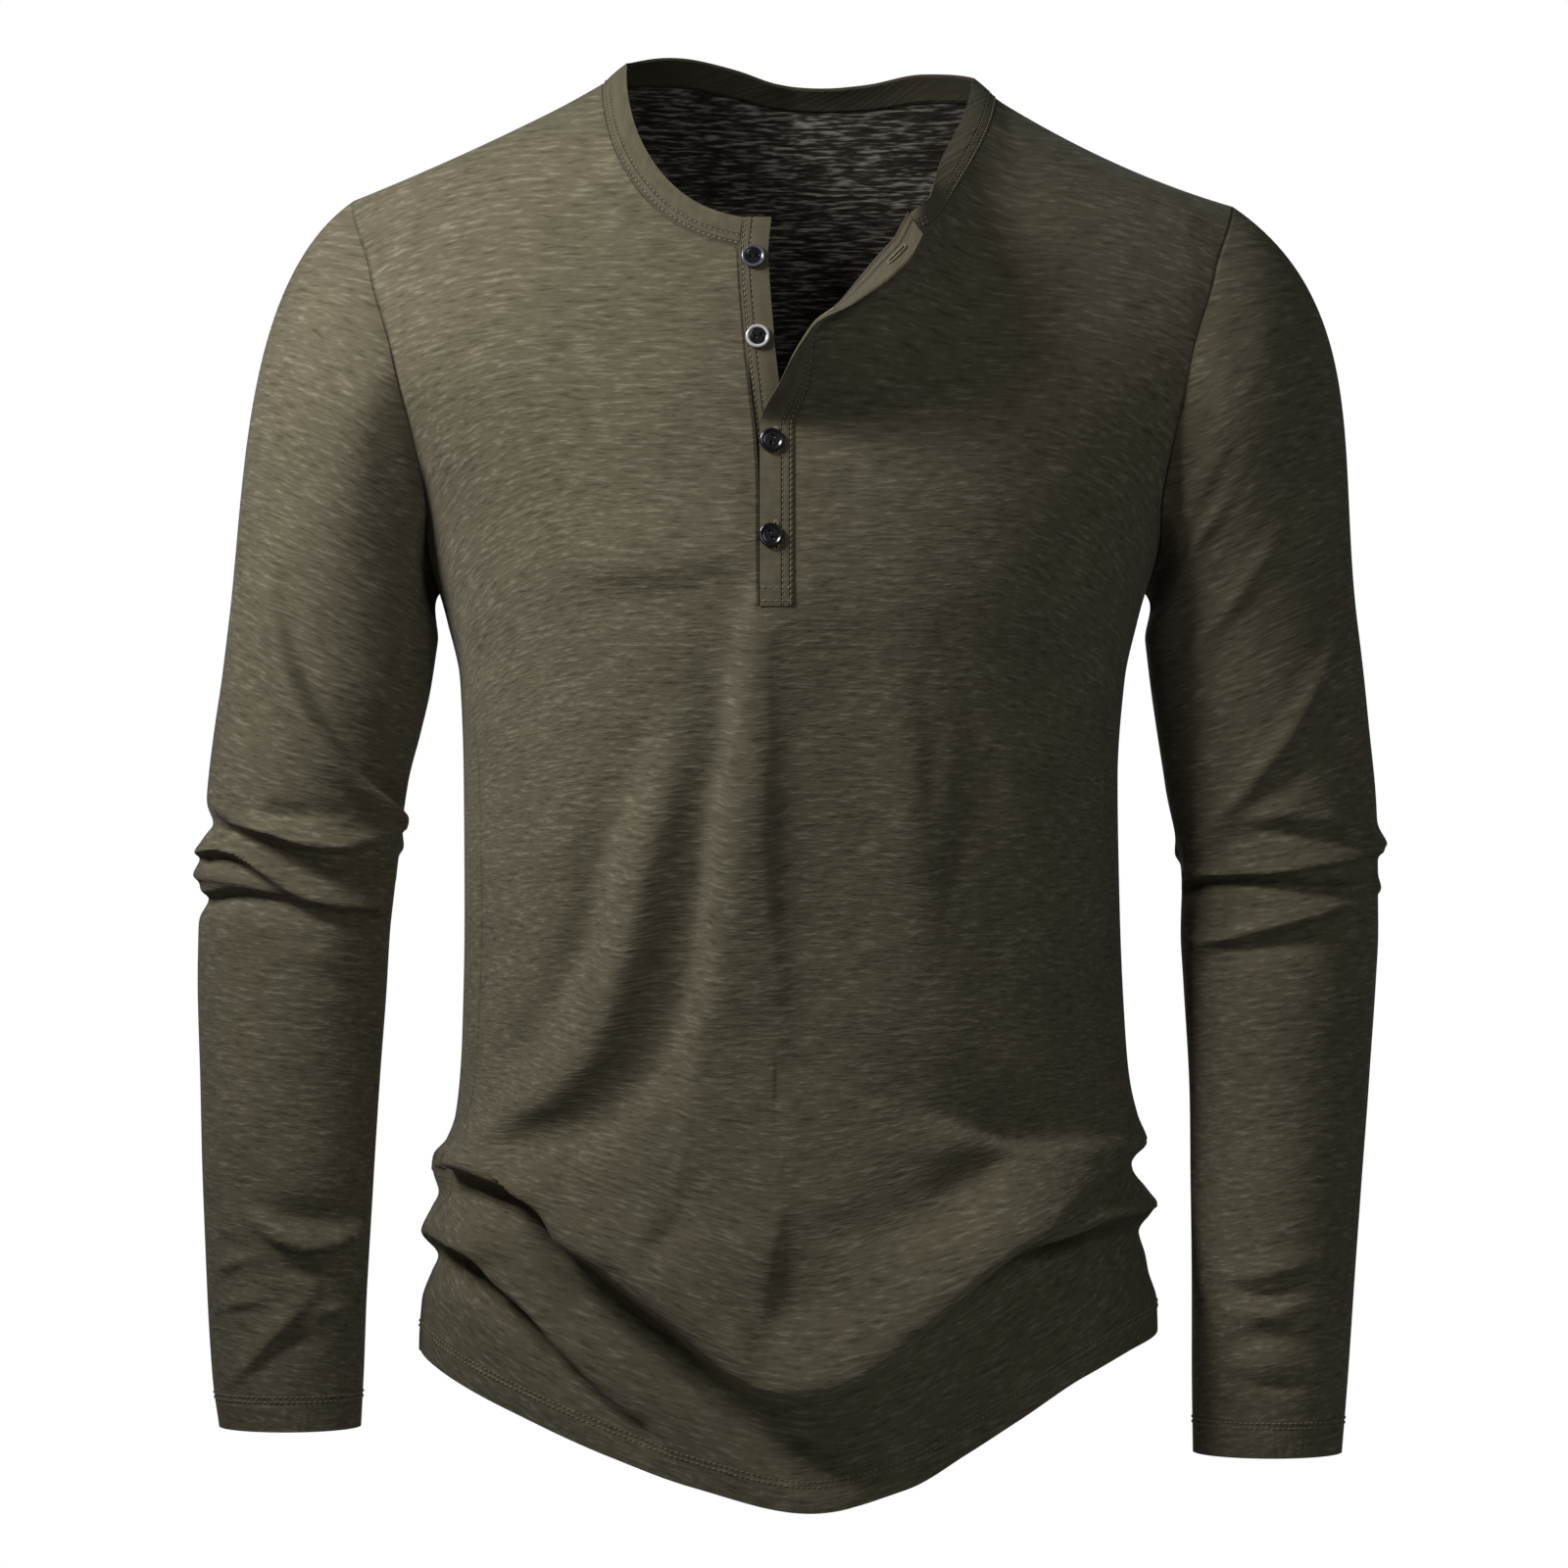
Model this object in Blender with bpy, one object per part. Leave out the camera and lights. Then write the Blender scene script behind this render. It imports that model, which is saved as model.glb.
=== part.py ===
"""Long-sleeved henley shirt in jersey, filled out as on a wearer who isn't there.

Metres, +Z up. The front faces -Y, and the wearer's left side is +X. The origin is the middle
of the neck's base, between the two points where the shoulder seams meet the neckband.

Every cut piece is a thin wall. Its outer face is a grid of points, worked out from the tables
below, and its inner face is the same grid moved in along the cloth's normals. Grid rows run
from the shoulders down and columns from the wearer's right (-X) to their left (+X).
"""

from collections import namedtuple

import bmesh
import bpy
import numpy as np
from mathutils import Matrix, Vector

# ---------------------------------------------------------------- driving dimensions
CLOTH = 0.0015  # wall of one layer of doubled jersey
GAP = 0.0003  # clearance between two sewn pieces
BAND_WIDTH = 0.0155
OVER_WIDTH = 0.0160  # buttonhole strip of the placket
UNDER_WIDTH = 0.0145  # button strip of the placket
SLOT_FOOT_Z = -0.2646  # lower end of the placket
UNDERARM_Z = -0.2555
FOOT_STEP = 0.0020  # the button strip ends this much above the slit's foot
UNDER_DEPTH = 0.0018  # how far the button strip lies behind the buttonhole strip
UNDER_START_Z = -0.1400  # from here down it goes behind, over UNDER_BLEND
UNDER_BLEND = 0.0320

BUTTON_RADIUS = 0.0060
BUTTON_THICKNESS = 0.0026
BUTTON_HOLE_RADIUS = 0.00085
BUTTON_HOLE_SPACING = 0.0036
BUTTON_STEPS = 16
DRILL_SIDES = 6
SEAT_STEPS = 8  # how finely a strip is read under a button

SECTION_POWER = 0.86  # under 1, a flatter chest than an ellipse
ROUNDING_MIDDLE = 0.33  # height over which a shoulder rounds, at the neck's middle
ROUNDING_TIP = 0.16  # and ROUNDING_REACH from it
ROUNDING_REACH = 0.20
NECK_DROP = 0.0895  # depth of the front neck seam, a rounded U under the line of the neck points
NECK_POWER = 2.4  # over 2, a squarer U than an ellipse
FAN_POWER = 1.8  # over 1, columns spread out fast below the neck
PULL_REACH = 0.110  # how far from the slit its open edges still move the front
SLIT_FADE = 0.080  # and how far below it
DROOP = 0.35  # share of a fold's height by which it also hangs down
BODY_RADIUS = 0.180  # with ARM_RADIUS, turns an angle into a distance for the folds
ARM_RADIUS = 0.050

BICEPS_Z = -0.2750
ELBOW_TOP_Z = -0.3500
ELBOW_FOOT_Z = -0.4350
WRIST_Z = -0.5800
BICEPS_TILT = 0.10  # how much higher the ring at the biceps is outside than inside, per metre
CAP_PULL = {-1: 0.92, 1: 1.16}  # strength of a sleeve head's end directions, per length of a line
TURN_BY_LENGTH = 0.35  # how far the sleeve's columns keep the spacing of the armhole
LEAVE_OUT = 0.80  # direction in which the sleeve leaves the armhole, and its swing round the loop
LEAVE_OUT_SWING = 0.08
LEAVE_FORWARD = 0.42
LEAVE_DOWN = 0.70
LEAVE_DOWN_SWING = 0.10
SHARP_ANGLE = 50  # degrees, edges above this are shaded hard

# ---------------------------------------------------------------- tables
Side = namedtuple("Side", "neck_x neck_z tip_x tip_z sag")
SIDES = {
    -1: Side(0.094, 0.005, 0.2235, -0.055, 0.002),
    1: Side(0.104, -0.003, 0.2250, -0.058, 0.005),
}

# Half widths and depths of the body, and the angles from the centre front, in degrees, at which
# the front and the back panel end on each side. Below the underarm that is one side seam.
Level = namedtuple("Level", "z right left front back front_right front_left back_right back_left")
LEVELS = (
    Level(-0.7400, 0.1860, 0.1860, 0.108, 0.104, 84, 88, 84, 88),
    Level(-0.6400, 0.1900, 0.1865, 0.112, 0.106, 84, 88, 84, 88),
    Level(-0.6150, 0.1885, 0.1860, 0.114, 0.105, 82, 88, 82, 88),
    Level(-0.6000, 0.1835, 0.1820, 0.116, 0.104, 80, 88, 80, 88),
    Level(-0.5920, 0.1805, 0.1812, 0.117, 0.103, 79, 88, 79, 88),
    Level(-0.5805, 0.1875, 0.1795, 0.117, 0.103, 78, 88, 78, 88),
    Level(-0.5680, 0.1830, 0.1865, 0.116, 0.102, 77, 88, 77, 88),
    Level(-0.5600, 0.1800, 0.1815, 0.115, 0.101, 76, 88, 76, 88),
    Level(-0.5480, 0.1835, 0.1748, 0.113, 0.100, 74, 88, 74, 88),
    Level(-0.5400, 0.1810, 0.1730, 0.112, 0.099, 73, 88, 73, 88),
    Level(-0.5330, 0.1750, 0.1775, 0.111, 0.098, 72, 88, 72, 88),
    Level(-0.5200, 0.1710, 0.1740, 0.109, 0.096, 71, 88, 71, 88),
    Level(-0.4800, 0.1680, 0.1700, 0.105, 0.092, 70, 88, 70, 88),
    Level(-0.4200, 0.1668, 0.1672, 0.106, 0.088, 69, 88, 69, 88),
    Level(-0.3500, 0.1672, 0.1660, 0.111, 0.090, 70, 89, 70, 89),
    Level(-0.3000, 0.1690, 0.1695, 0.116, 0.096, 76, 90, 76, 90),
    Level(-0.2700, 0.1755, 0.1760, 0.119, 0.100, 84, 90, 84, 90),
    Level(-0.2555, 0.1795, 0.1800, 0.120, 0.102, 90, 90, 90, 90),
    Level(-0.2125, 0.1950, 0.1965, 0.120, 0.105, 70.5, 70.5, 112, 112),
    Level(-0.1770, 0.2170, 0.2185, 0.119, 0.108, 61.0, 61.0, 122, 122),
    Level(-0.1360, 0.2480, 0.2490, 0.118, 0.110, 53.5, 53.5, 127, 127),
    Level(-0.0955, 0.2550, 0.2560, 0.118, 0.110, 55.8, 56.0, 125, 125),
    Level(-0.0500, 0.2550, 0.2560, 0.118, 0.110, 61.2, 61.5, 118.8, 118.5),
    Level(0.0600, 0.2550, 0.2560, 0.118, 0.110, 61.2, 61.5, 118.8, 118.5),
)

# Back neck seam: its rise over the line of the neck points, across the neck from its middle.
BackNeck = namedtuple("BackNeck", "share rise")
BACK_NECK = (
    BackNeck(-1.00, 0.0000),
    BackNeck(-0.65, 0.0034),
    BackNeck(-0.38, 0.0012),
    BackNeck(-0.12, -0.0030),
    BackNeck(0.10, -0.0036),
    BackNeck(0.36, -0.0024),
    BackNeck(0.66, 0.0012),
    BackNeck(1.00, 0.0000),
)

# Front and back hem, by the angle round the body.
Hem = namedtuple("Hem", "angle z")
HEM = (
    Hem(-90, -0.6385),
    Hem(-75, -0.6460),
    Hem(-52, -0.6632),
    Hem(-31, -0.6842),
    Hem(-16, -0.6990),
    Hem(3, -0.7115),
    Hem(18, -0.7005),
    Hem(29, -0.6830),
    Hem(38, -0.6685),
    Hem(53, -0.6475),
    Hem(70, -0.6350),
    Hem(90, -0.6295),
)

# Edge of the slit on the button side, by height.
SlitEdge = namedtuple("SlitEdge", "z x")
BUTTON_EDGE = (
    SlitEdge(-0.2800, -0.0165),
    SlitEdge(-0.2100, -0.0165),
    SlitEdge(-0.1840, -0.0178),
    SlitEdge(-0.1630, -0.0200),
    SlitEdge(-0.1325, -0.0233),
    SlitEdge(-0.0840, -0.0263),
    SlitEdge(-0.0600, -0.0263),
)

# Buttonhole strip, by the height of its seam when buttoned: how far the seam is carried by
# the open corner, and the direction in which the strip leaves its seam.
Flap = namedtuple("Flap", "z move_x move_y move_z way_x way_y way_z")
FLAP = (
    Flap(-0.2646, 0.0000, 0.0000, 0.0000, -1.00, 0.00, 0.00),
    Flap(-0.1765, 0.0000, 0.0000, 0.0000, -1.00, 0.00, 0.00),
    Flap(-0.1599, 0.0075, -0.0135, 0.0030, -0.80, -0.60, 0.15),
    Flap(-0.1390, 0.0108, -0.0260, 0.0073, -0.10, -1.00, 0.05),
    Flap(-0.1196, 0.0258, -0.0330, 0.0036, 0.42, -0.85, -0.30),
    Flap(-0.1004, 0.0409, -0.0360, 0.0027, 0.55, -0.68, -0.48),
    Flap(-0.0840, 0.0534, -0.0360, 0.0011, 0.52, -0.58, -0.62),
    Flap(-0.0685, 0.0600, -0.0340, 0.0000, 0.40, -0.50, -0.76),
)

# Direction in which the neckband leaves the neck seam, from the button end round the back to
# the buttonhole end, by its share of the way round.
BandWay = namedtuple("BandWay", "share x y z")
BAND_WAYS = (
    BandWay(0.00, 0.10, 0.30, 0.95),
    BandWay(0.12, 0.60, 0.30, 0.70),
    BandWay(0.27, 0.80, 0.02, 0.62),
    BandWay(0.36, 0.36, -0.24, 0.93),
    BandWay(0.51, 0.00, -0.72, 0.66),
    BandWay(0.64, -0.36, -0.40, 0.88),
    BandWay(0.73, -0.80, 0.00, 0.60),
    BandWay(0.85, -0.88, 0.12, 0.45),
    BandWay(0.95, -0.25, 0.50, 0.83),
    BandWay(1.00, 0.42, 0.38, 0.82),
)

# Folds of the body: a path of (angle, height) points, the half width of the fold, its height
# (out of the cloth, or into it if negative), and its share of that at the path's two ends.
Fold = namedtuple("Fold", "path width height start end")
BODY_FOLDS = (
    Fold(((-6, -0.284), (-7, -0.305), (-11, -0.352), (-14, -0.400), (-16, -0.450), (-17, -0.500)),
         0.011, 0.0050, 0.2, 0.3),
    Fold(((-3, -0.290), (-3, -0.352), (-2, -0.400), (-1, -0.450), (-1, -0.490)),
         0.011, -0.0050, 0.3, 0.2),
    Fold(((-12, -0.270), (-18, -0.333), (-29, -0.391), (-37, -0.430), (-46, -0.469), (-62, -0.514),
          (-75, -0.535)), 0.014, 0.0045, 0.2, 0.8),
    Fold(((-24, -0.420), (-32, -0.470), (-44, -0.505), (-60, -0.530)), 0.012, -0.0035, 0.2, 0.6),
    Fold(((-78, -0.546), (-62, -0.552), (-50, -0.560), (-43, -0.578), (-38, -0.592), (-29, -0.608),
          (-16, -0.631), (-4, -0.665)), 0.010, -0.0080, 0.7, 0.3),
    Fold(((-72, -0.571), (-64, -0.574), (-52, -0.586), (-44, -0.606), (-33, -0.628), (-18, -0.655)),
         0.009, 0.0060, 0.8, 0.2),
    Fold(((-84, -0.592), (-66, -0.592), (-48, -0.618), (-37, -0.643), (-29, -0.661)),
         0.008, -0.0055, 0.8, 0.2),
    Fold(((-70, -0.537), (-52, -0.541), (-38, -0.562), (-27, -0.588), (-12, -0.612), (0, -0.632)),
         0.013, 0.0060, 0.7, 0.4),
    Fold(((70, -0.534), (58, -0.541), (39, -0.552), (22, -0.579), (7, -0.612), (-2, -0.628)),
         0.013, 0.0085, 0.7, 0.5),
    Fold(((76, -0.543), (60, -0.550), (39, -0.574), (27, -0.604), (19, -0.628), (11, -0.660)),
         0.009, -0.0065, 0.7, 0.2),
    Fold(((72, -0.566), (62, -0.566), (43, -0.586), (32, -0.602), (24, -0.622)),
         0.010, 0.0050, 0.8, 0.2),
    Fold(((86, -0.594), (64, -0.590), (46, -0.612), (34, -0.634)), 0.009, -0.0050, 0.8, 0.2),
    Fold(((-3, -0.560), (-1, -0.622)), 0.010, -0.0055, 0.4, 0.4),
    Fold(((26, -0.300), (30, -0.345), (34, -0.400)), 0.012, -0.0025, 0.3, 0.3),
    Fold(((116, -0.545), (140, -0.556), (165, -0.585), (180, -0.600)), 0.012, -0.0060, 0.8, 0.3),
    Fold(((-116, -0.548), (-140, -0.560), (-165, -0.590), (-180, -0.606)), 0.012, -0.0060, 0.8, 0.3),
    Fold(((112, -0.530), (140, -0.535), (170, -0.558)), 0.014, 0.0060, 0.8, 0.3),
    Fold(((-112, -0.532), (-140, -0.538), (-170, -0.562)), 0.014, 0.0060, 0.8, 0.3),
    Fold(((172, -0.300), (168, -0.400), (160, -0.500)), 0.014, -0.0040, 0.3, 0.4),
    Fold(((-170, -0.320), (-165, -0.400), (-155, -0.500)), 0.014, 0.0035, 0.3, 0.4),
)

# Arm below the underarm: centre, half width and half depth of the sleeve, by height.
Ring = namedtuple("Ring", "z x y wide deep")
RIGHT_ARM = (  # the wearer's right, at -X, with x measured outwards
    Ring(-0.6765, 0.2534, -0.0300, 0.0358, 0.0330),
    Ring(-0.6525, 0.2546, -0.0280, 0.0381, 0.0345),
    Ring(-0.6025, 0.2555, -0.0230, 0.0407, 0.0370),
    Ring(-0.5525, 0.2555, -0.0170, 0.0433, 0.0400),
    Ring(-0.5025, 0.2551, -0.0100, 0.0456, 0.0430),
    Ring(-0.4525, 0.2545, -0.0030, 0.0482, 0.0465),
    Ring(-0.4275, 0.2538, 0.0000, 0.0488, 0.0480),
    Ring(-0.4025, 0.2520, 0.0015, 0.0498, 0.0490),
    Ring(-0.3525, 0.2470, 0.0020, 0.0510, 0.0510),
    Ring(-0.3250, 0.2420, 0.0020, 0.0525, 0.0520),
    Ring(-0.3025, 0.2378, 0.0020, 0.0530, 0.0540),
    Ring(-0.2750, 0.2340, 0.0020, 0.0532, 0.0555),
)
LEFT_ARM = (
    Ring(-0.6895, 0.2401, -0.0300, 0.0376, 0.0340),
    Ring(-0.6525, 0.2416, -0.0270, 0.0394, 0.0355),
    Ring(-0.6025, 0.2437, -0.0220, 0.0412, 0.0375),
    Ring(-0.5525, 0.2457, -0.0160, 0.0434, 0.0400),
    Ring(-0.5025, 0.2477, -0.0100, 0.0457, 0.0430),
    Ring(-0.4525, 0.2485, -0.0030, 0.0490, 0.0465),
    Ring(-0.4275, 0.2487, 0.0000, 0.0503, 0.0480),
    Ring(-0.4025, 0.2490, 0.0015, 0.0500, 0.0490),
    Ring(-0.3525, 0.2440, 0.0020, 0.0535, 0.0515),
    Ring(-0.3250, 0.2405, 0.0020, 0.0540, 0.0525),
    Ring(-0.3025, 0.2378, 0.0020, 0.0542, 0.0540),
    Ring(-0.2750, 0.2345, 0.0020, 0.0540, 0.0555),
)
ARMS = {-1: RIGHT_ARM, 1: LEFT_ARM}

# Folds of a sleeve: the angle runs from 0 outside, through 90 at the front, to 180 inside.
RIGHT_SLEEVE_FOLDS = (
    Fold(((20, -0.356), (60, -0.372), (100, -0.375), (150, -0.377), (185, -0.374)),
         0.0065, 0.0045, 0.4, 0.2),
    Fold(((-10, -0.3745), (25, -0.3745), (70, -0.386), (110, -0.392), (150, -0.385)),
         0.0055, -0.0055, 1.0, 0.5),
    Fold(((-15, -0.387), (30, -0.387), (75, -0.398), (110, -0.410), (160, -0.412)),
         0.0060, 0.0055, 0.7, 0.6),
    Fold(((10, -0.396), (50, -0.405), (90, -0.417), (130, -0.418)), 0.0050, -0.0045, 0.4, 0.4),
    Fold(((45, -0.270), (55, -0.305), (80, -0.333), (115, -0.354), (160, -0.366)),
         0.0075, -0.0045, 0.1, 0.9),
    Fold(((100, -0.140), (130, -0.190), (150, -0.245)), 0.0100, 0.0035, 0.3, 0.5),
    Fold(((60, -0.585), (100, -0.592), (150, -0.586)), 0.0070, 0.0030, 0.4, 0.4),
    Fold(((20, -0.652), (55, -0.640), (90, -0.622), (110, -0.606)), 0.0070, 0.0030, 0.3, 0.3),
    Fold(((200, -0.370), (270, -0.378), (330, -0.372)), 0.0070, -0.0040, 0.5, 0.5),
    Fold(((190, -0.388), (260, -0.400), (340, -0.392)), 0.0070, 0.0045, 0.5, 0.5),
)
LEFT_SLEEVE_FOLDS = (
    Fold(((-10, -0.371), (35, -0.371), (60, -0.370), (90, -0.377)), 0.0055, 0.0040, 0.3, 0.2),
    Fold(((0, -0.382), (60, -0.380), (110, -0.386), (150, -0.382)), 0.0045, -0.0045, 0.5, 0.8),
    Fold(((-15, -0.388), (40, -0.391), (90, -0.393), (150, -0.393), (190, -0.391)),
         0.0060, 0.0050, 0.6, 0.5),
    Fold(((10, -0.397), (60, -0.402), (120, -0.404)), 0.0045, -0.0040, 0.6, 0.3),
    Fold(((0, -0.404), (40, -0.411), (80, -0.419), (130, -0.427)), 0.0060, 0.0045, 0.7, 0.2),
    Fold(((25, -0.272), (45, -0.303), (75, -0.330), (115, -0.355), (160, -0.366)),
         0.0090, 0.0045, 0.2, 0.5),
    Fold(((70, -0.170), (120, -0.215), (150, -0.255)), 0.0100, 0.0040, 0.3, 0.5),
    Fold(((90, -0.210), (130, -0.262), (165, -0.300)), 0.0090, -0.0035, 0.3, 0.5),
    Fold(((40, -0.600), (90, -0.606), (140, -0.600)), 0.0080, 0.0025, 0.4, 0.4),
    Fold(((50, -0.640), (100, -0.646), (150, -0.640)), 0.0080, 0.0025, 0.4, 0.4),
    Fold(((200, -0.370), (270, -0.380), (330, -0.374)), 0.0070, -0.0040, 0.5, 0.5),
    Fold(((190, -0.390), (260, -0.402), (340, -0.392)), 0.0070, 0.0045, 0.5, 0.5),
)
SLEEVE_FOLDS = {-1: RIGHT_SLEEVE_FOLDS, 1: LEFT_SLEEVE_FOLDS}

# Half section of a button, as shares of its radius and thickness.
Profile = namedtuple("Profile", "radius height")
BUTTON_PROFILE = (
    Profile(0.00, 0.00),
    Profile(0.80, 0.00),
    Profile(1.00, 0.35),
    Profile(1.00, 0.70),
    Profile(0.89, 1.00),
    Profile(0.73, 0.92),
    Profile(0.63, 0.73),
    Profile(0.00, 0.73),
)

# Buttons, from the top: height, place across the slit, the turn of their two holes in degrees,
# and the strip on whose face they lie.
Button = namedtuple("Button", "z x turn strip")
BUTTONS = (
    Button(-0.0923, -0.0190, 8, "placket_under"),
    Button(-0.1325, -0.0170, 20, "placket_under"),
    Button(-0.1838, -0.0100, 70, "placket_over"),
    Button(-0.2309, -0.0104, 115, "placket_over"),
)

# ---------------------------------------------------------------- grid
# Rows as shares of the way from the top edge to the chest, and from there to the hem, close
# together where the waist's folds are.
YOKE_ROWS = np.array([0, 0.06, 0.14, 0.235, 0.33, 0.42, 0.512, 0.66, 0.79, 0.90, 1.0])
FOLDS_START = 0.68
FOLDS_END = 0.93
LOWER_ROWS = np.concatenate([
    np.linspace(0, FOLDS_START, 9)[1:],
    np.linspace(FOLDS_START, FOLDS_END, 15)[1:],
    np.linspace(FOLDS_END, 1, 4)[1:],
])
SHOULDER_CELLS = 6
NECK_CELLS = 8
BACK_NECK_CELLS = 10
SLOT_CELLS = 2
CAP_ROWS = np.linspace(0, 1, 8)[1:]
ARM_HEIGHTS = np.concatenate([
    np.linspace(BICEPS_Z, ELBOW_TOP_Z, 5)[1:],
    np.linspace(ELBOW_TOP_Z, ELBOW_FOOT_Z, 15)[1:],
    np.linspace(ELBOW_FOOT_Z, WRIST_Z, 5)[1:],
])
CUFF_CELLS = 6
STRIP_CELLS = 2


# ---------------------------------------------------------------- small tools
def unit(vectors):
    return vectors / np.maximum(np.linalg.norm(vectors, axis=-1, keepdims=True), 1e-12)


def smooth(share):
    """0 below 0, 1 above 1, and an even S between."""
    share = np.clip(share, 0, 1)
    return share * share * (3 - 2 * share)


def read(table, column, at):
    """One column of a table at any place of its first column, as a smooth curve.

    Between two rows it is a cubic. Its slope at a row is the harmonic mean of the slopes to
    the rows on either side, and level where those differ in sign, so it never overshoots.
    """
    key = np.array([row[0] for row in table], float)
    value = np.array([getattr(row, column) for row in table], float)
    rise = np.diff(value) / np.diff(key)
    both = rise[1:] * rise[:-1]
    inner = np.where(both > 0, 2 * both / np.where(both > 0, rise[1:] + rise[:-1], 1), 0)
    slope = np.concatenate([rise[:1], inner, rise[-1:]])
    at = np.clip(at, key[0], key[-1])
    i = np.clip(np.searchsorted(key, at, side="right") - 1, 0, len(key) - 2)
    step = key[i + 1] - key[i]
    t = (at - key[i]) / step
    return (
        (1 + 2 * t) * (1 - t) ** 2 * value[i]
        + t * (1 - t) ** 2 * step * slope[i]
        + t * t * (3 - 2 * t) * value[i + 1]
        + t * t * (t - 1) * step * slope[i + 1]
    )


def fold_height(folds, angle, z, radius):
    """Sum of the folds at points given by an angle and a height, on a tube of this radius."""
    across = angle * radius
    total = np.zeros_like(across)
    for fold in folds:
        path = np.array(fold.path, float)
        path[:, 0] = np.radians(path[:, 0]) * radius
        length = np.linalg.norm(np.diff(path, axis=0), axis=1)
        done = np.concatenate([[0], np.cumsum(length)]) / length.sum()
        nearest = np.full(across.shape, np.inf)
        place = np.zeros(across.shape)
        for i, reach in enumerate(length):
            way = (path[i + 1] - path[i]) / reach
            along = np.clip((across - path[i, 0]) * way[0] + (z - path[i, 1]) * way[1], 0, reach)
            off = np.hypot(across - path[i, 0] - along * way[0], z - path[i, 1] - along * way[1])
            closer = off < nearest
            nearest = np.where(closer, off, nearest)
            place = np.where(closer, done[i] + (done[i + 1] - done[i]) * along / reach, place)
        ends = np.where(place < 0.5, fold.start, fold.end)
        strength = ends + (1 - ends) * smooth(1 - np.abs(2 * place - 1))
        total += fold.height * strength * np.exp(-((nearest / fold.width) ** 2))
    return total


def normals(grid, closed=False):
    """Unit normals of a grid of points, from rows crossed with columns."""
    if closed:
        wide = np.concatenate([grid[:, -1:], grid, grid[:, :1]], axis=1)
        across = (wide[:, 2:] - wide[:, :-2]) / 2
    else:
        across = np.gradient(grid, axis=1)
    return unit(np.cross(np.gradient(grid, axis=0), across))


# ---------------------------------------------------------------- body
def neck_middle():
    """Middle and half width of the neck."""
    right, left = SIDES[-1], SIDES[1]
    return (left.neck_x - right.neck_x) / 2, (left.neck_x + right.neck_x) / 2


def shoulder_line(x):
    """Height of the shoulder seam. Over the neck it rises on, and passes from side to side."""
    lines = []
    for side in (SIDES[-1], SIDES[1]):
        share = (np.abs(x) - side.neck_x) / (side.tip_x - side.neck_x)
        line = side.neck_z + share * (side.tip_z - side.neck_z)
        lines.append(line - 4 * side.sag * np.clip(share, 0, 1) * (1 - np.clip(share, 0, 1)))
    middle, half = neck_middle()
    left_share = (np.clip((x - middle) / half, -1, 1) + 1) / 2
    return lines[0] + left_share * (lines[1] - lines[0])


def body_point(angle, z):
    """Point of the outer cloth at an angle from the centre front (radians, + to +X) and a height.

    The section is a flattened ellipse. Near the shoulder seam its depth closes along a
    quarter of an ellipse, so the cloth rounds over the shoulder.
    """
    wide = np.where(angle < 0, read(LEVELS, "right", z), read(LEVELS, "left", z))
    x = wide * np.sin(angle)
    ahead = np.cos(angle)
    deep = np.where(ahead > 0, read(LEVELS, "front", z), read(LEVELS, "back", z))
    rounding = np.interp(np.abs(x), (0, ROUNDING_REACH), (ROUNDING_MIDDLE, ROUNDING_TIP))
    down = np.clip((shoulder_line(x) - z) / rounding, 0, 1)
    over = np.sqrt(1 - (1 - down) ** 2)
    y = -np.sign(ahead) * deep * np.abs(ahead) ** SECTION_POWER * over
    return np.stack([x, y, z], axis=-1)


def fold_body(points, angle, z):
    """Body points moved out by the folds, which also hang a little."""
    height = fold_height(BODY_FOLDS, angle, z, BODY_RADIUS)
    out = unit(np.stack([np.sin(angle), -np.cos(angle), np.zeros_like(angle)], axis=-1))
    points = points + height[..., None] * out
    points[..., 2] -= DROOP * np.maximum(height, 0)
    return points


def neck_heights(x, back):
    """Height of the neck seam, measured from the line between the two neck points."""
    right, left = SIDES[-1], SIDES[1]
    middle, half = neck_middle()
    share = np.clip((x - middle) / half, -1, 1)
    line = (left.neck_z + right.neck_z) / 2 + share * (left.neck_z - right.neck_z) / 2
    if back:
        return line + read(BACK_NECK, "rise", share)
    return line - NECK_DROP * np.sqrt(1 - np.abs(share) ** NECK_POWER)


def panel(top_x, low_share, edges):
    """Angles and heights of a body panel's points, from its top edge to its hem.

    top_x places its columns along the top edge and low_share along every row below the
    chest; edges names the level columns that hold the angles of its two side edges.
    """
    back = edges[0].startswith("back")
    top_z = shoulder_line(top_x)
    inside = (top_x > -SIDES[-1].neck_x) & (top_x < SIDES[1].neck_x)
    top_z = np.where(inside, neck_heights(top_x, back), top_z)
    hem_z = read(HEM, "z", 90 * low_share)
    foot_z = SLOT_FOOT_Z + (UNDERARM_Z - SLOT_FOOT_Z) * low_share ** 2
    yoke_z = top_z + YOKE_ROWS[:, None] * (foot_z - top_z)
    lower_z = foot_z + LOWER_ROWS[:, None] * (hem_z - foot_z)
    z = np.concatenate([yoke_z, lower_z])

    wide = np.where(top_x < 0, read(LEVELS, "right", top_z), read(LEVELS, "left", top_z))
    top_angle = np.arcsin(np.clip(top_x / wide, -1, 1))
    right, left = (np.radians(read(LEVELS, name, z)) for name in edges)
    blend = np.concatenate([1 - (1 - YOKE_ROWS) ** FAN_POWER, np.ones(len(LOWER_ROWS))])[:, None]
    if back:
        right, left = np.pi - right, np.pi - left
    limit = np.where(low_share < 0, right, left)
    top_share = top_angle / limit[0]
    share = top_share + (low_share - top_share) * blend
    angle = share * limit
    if back:
        angle = np.sign(np.where(angle == 0, 1, angle)) * np.pi - angle
    return angle, z


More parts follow.
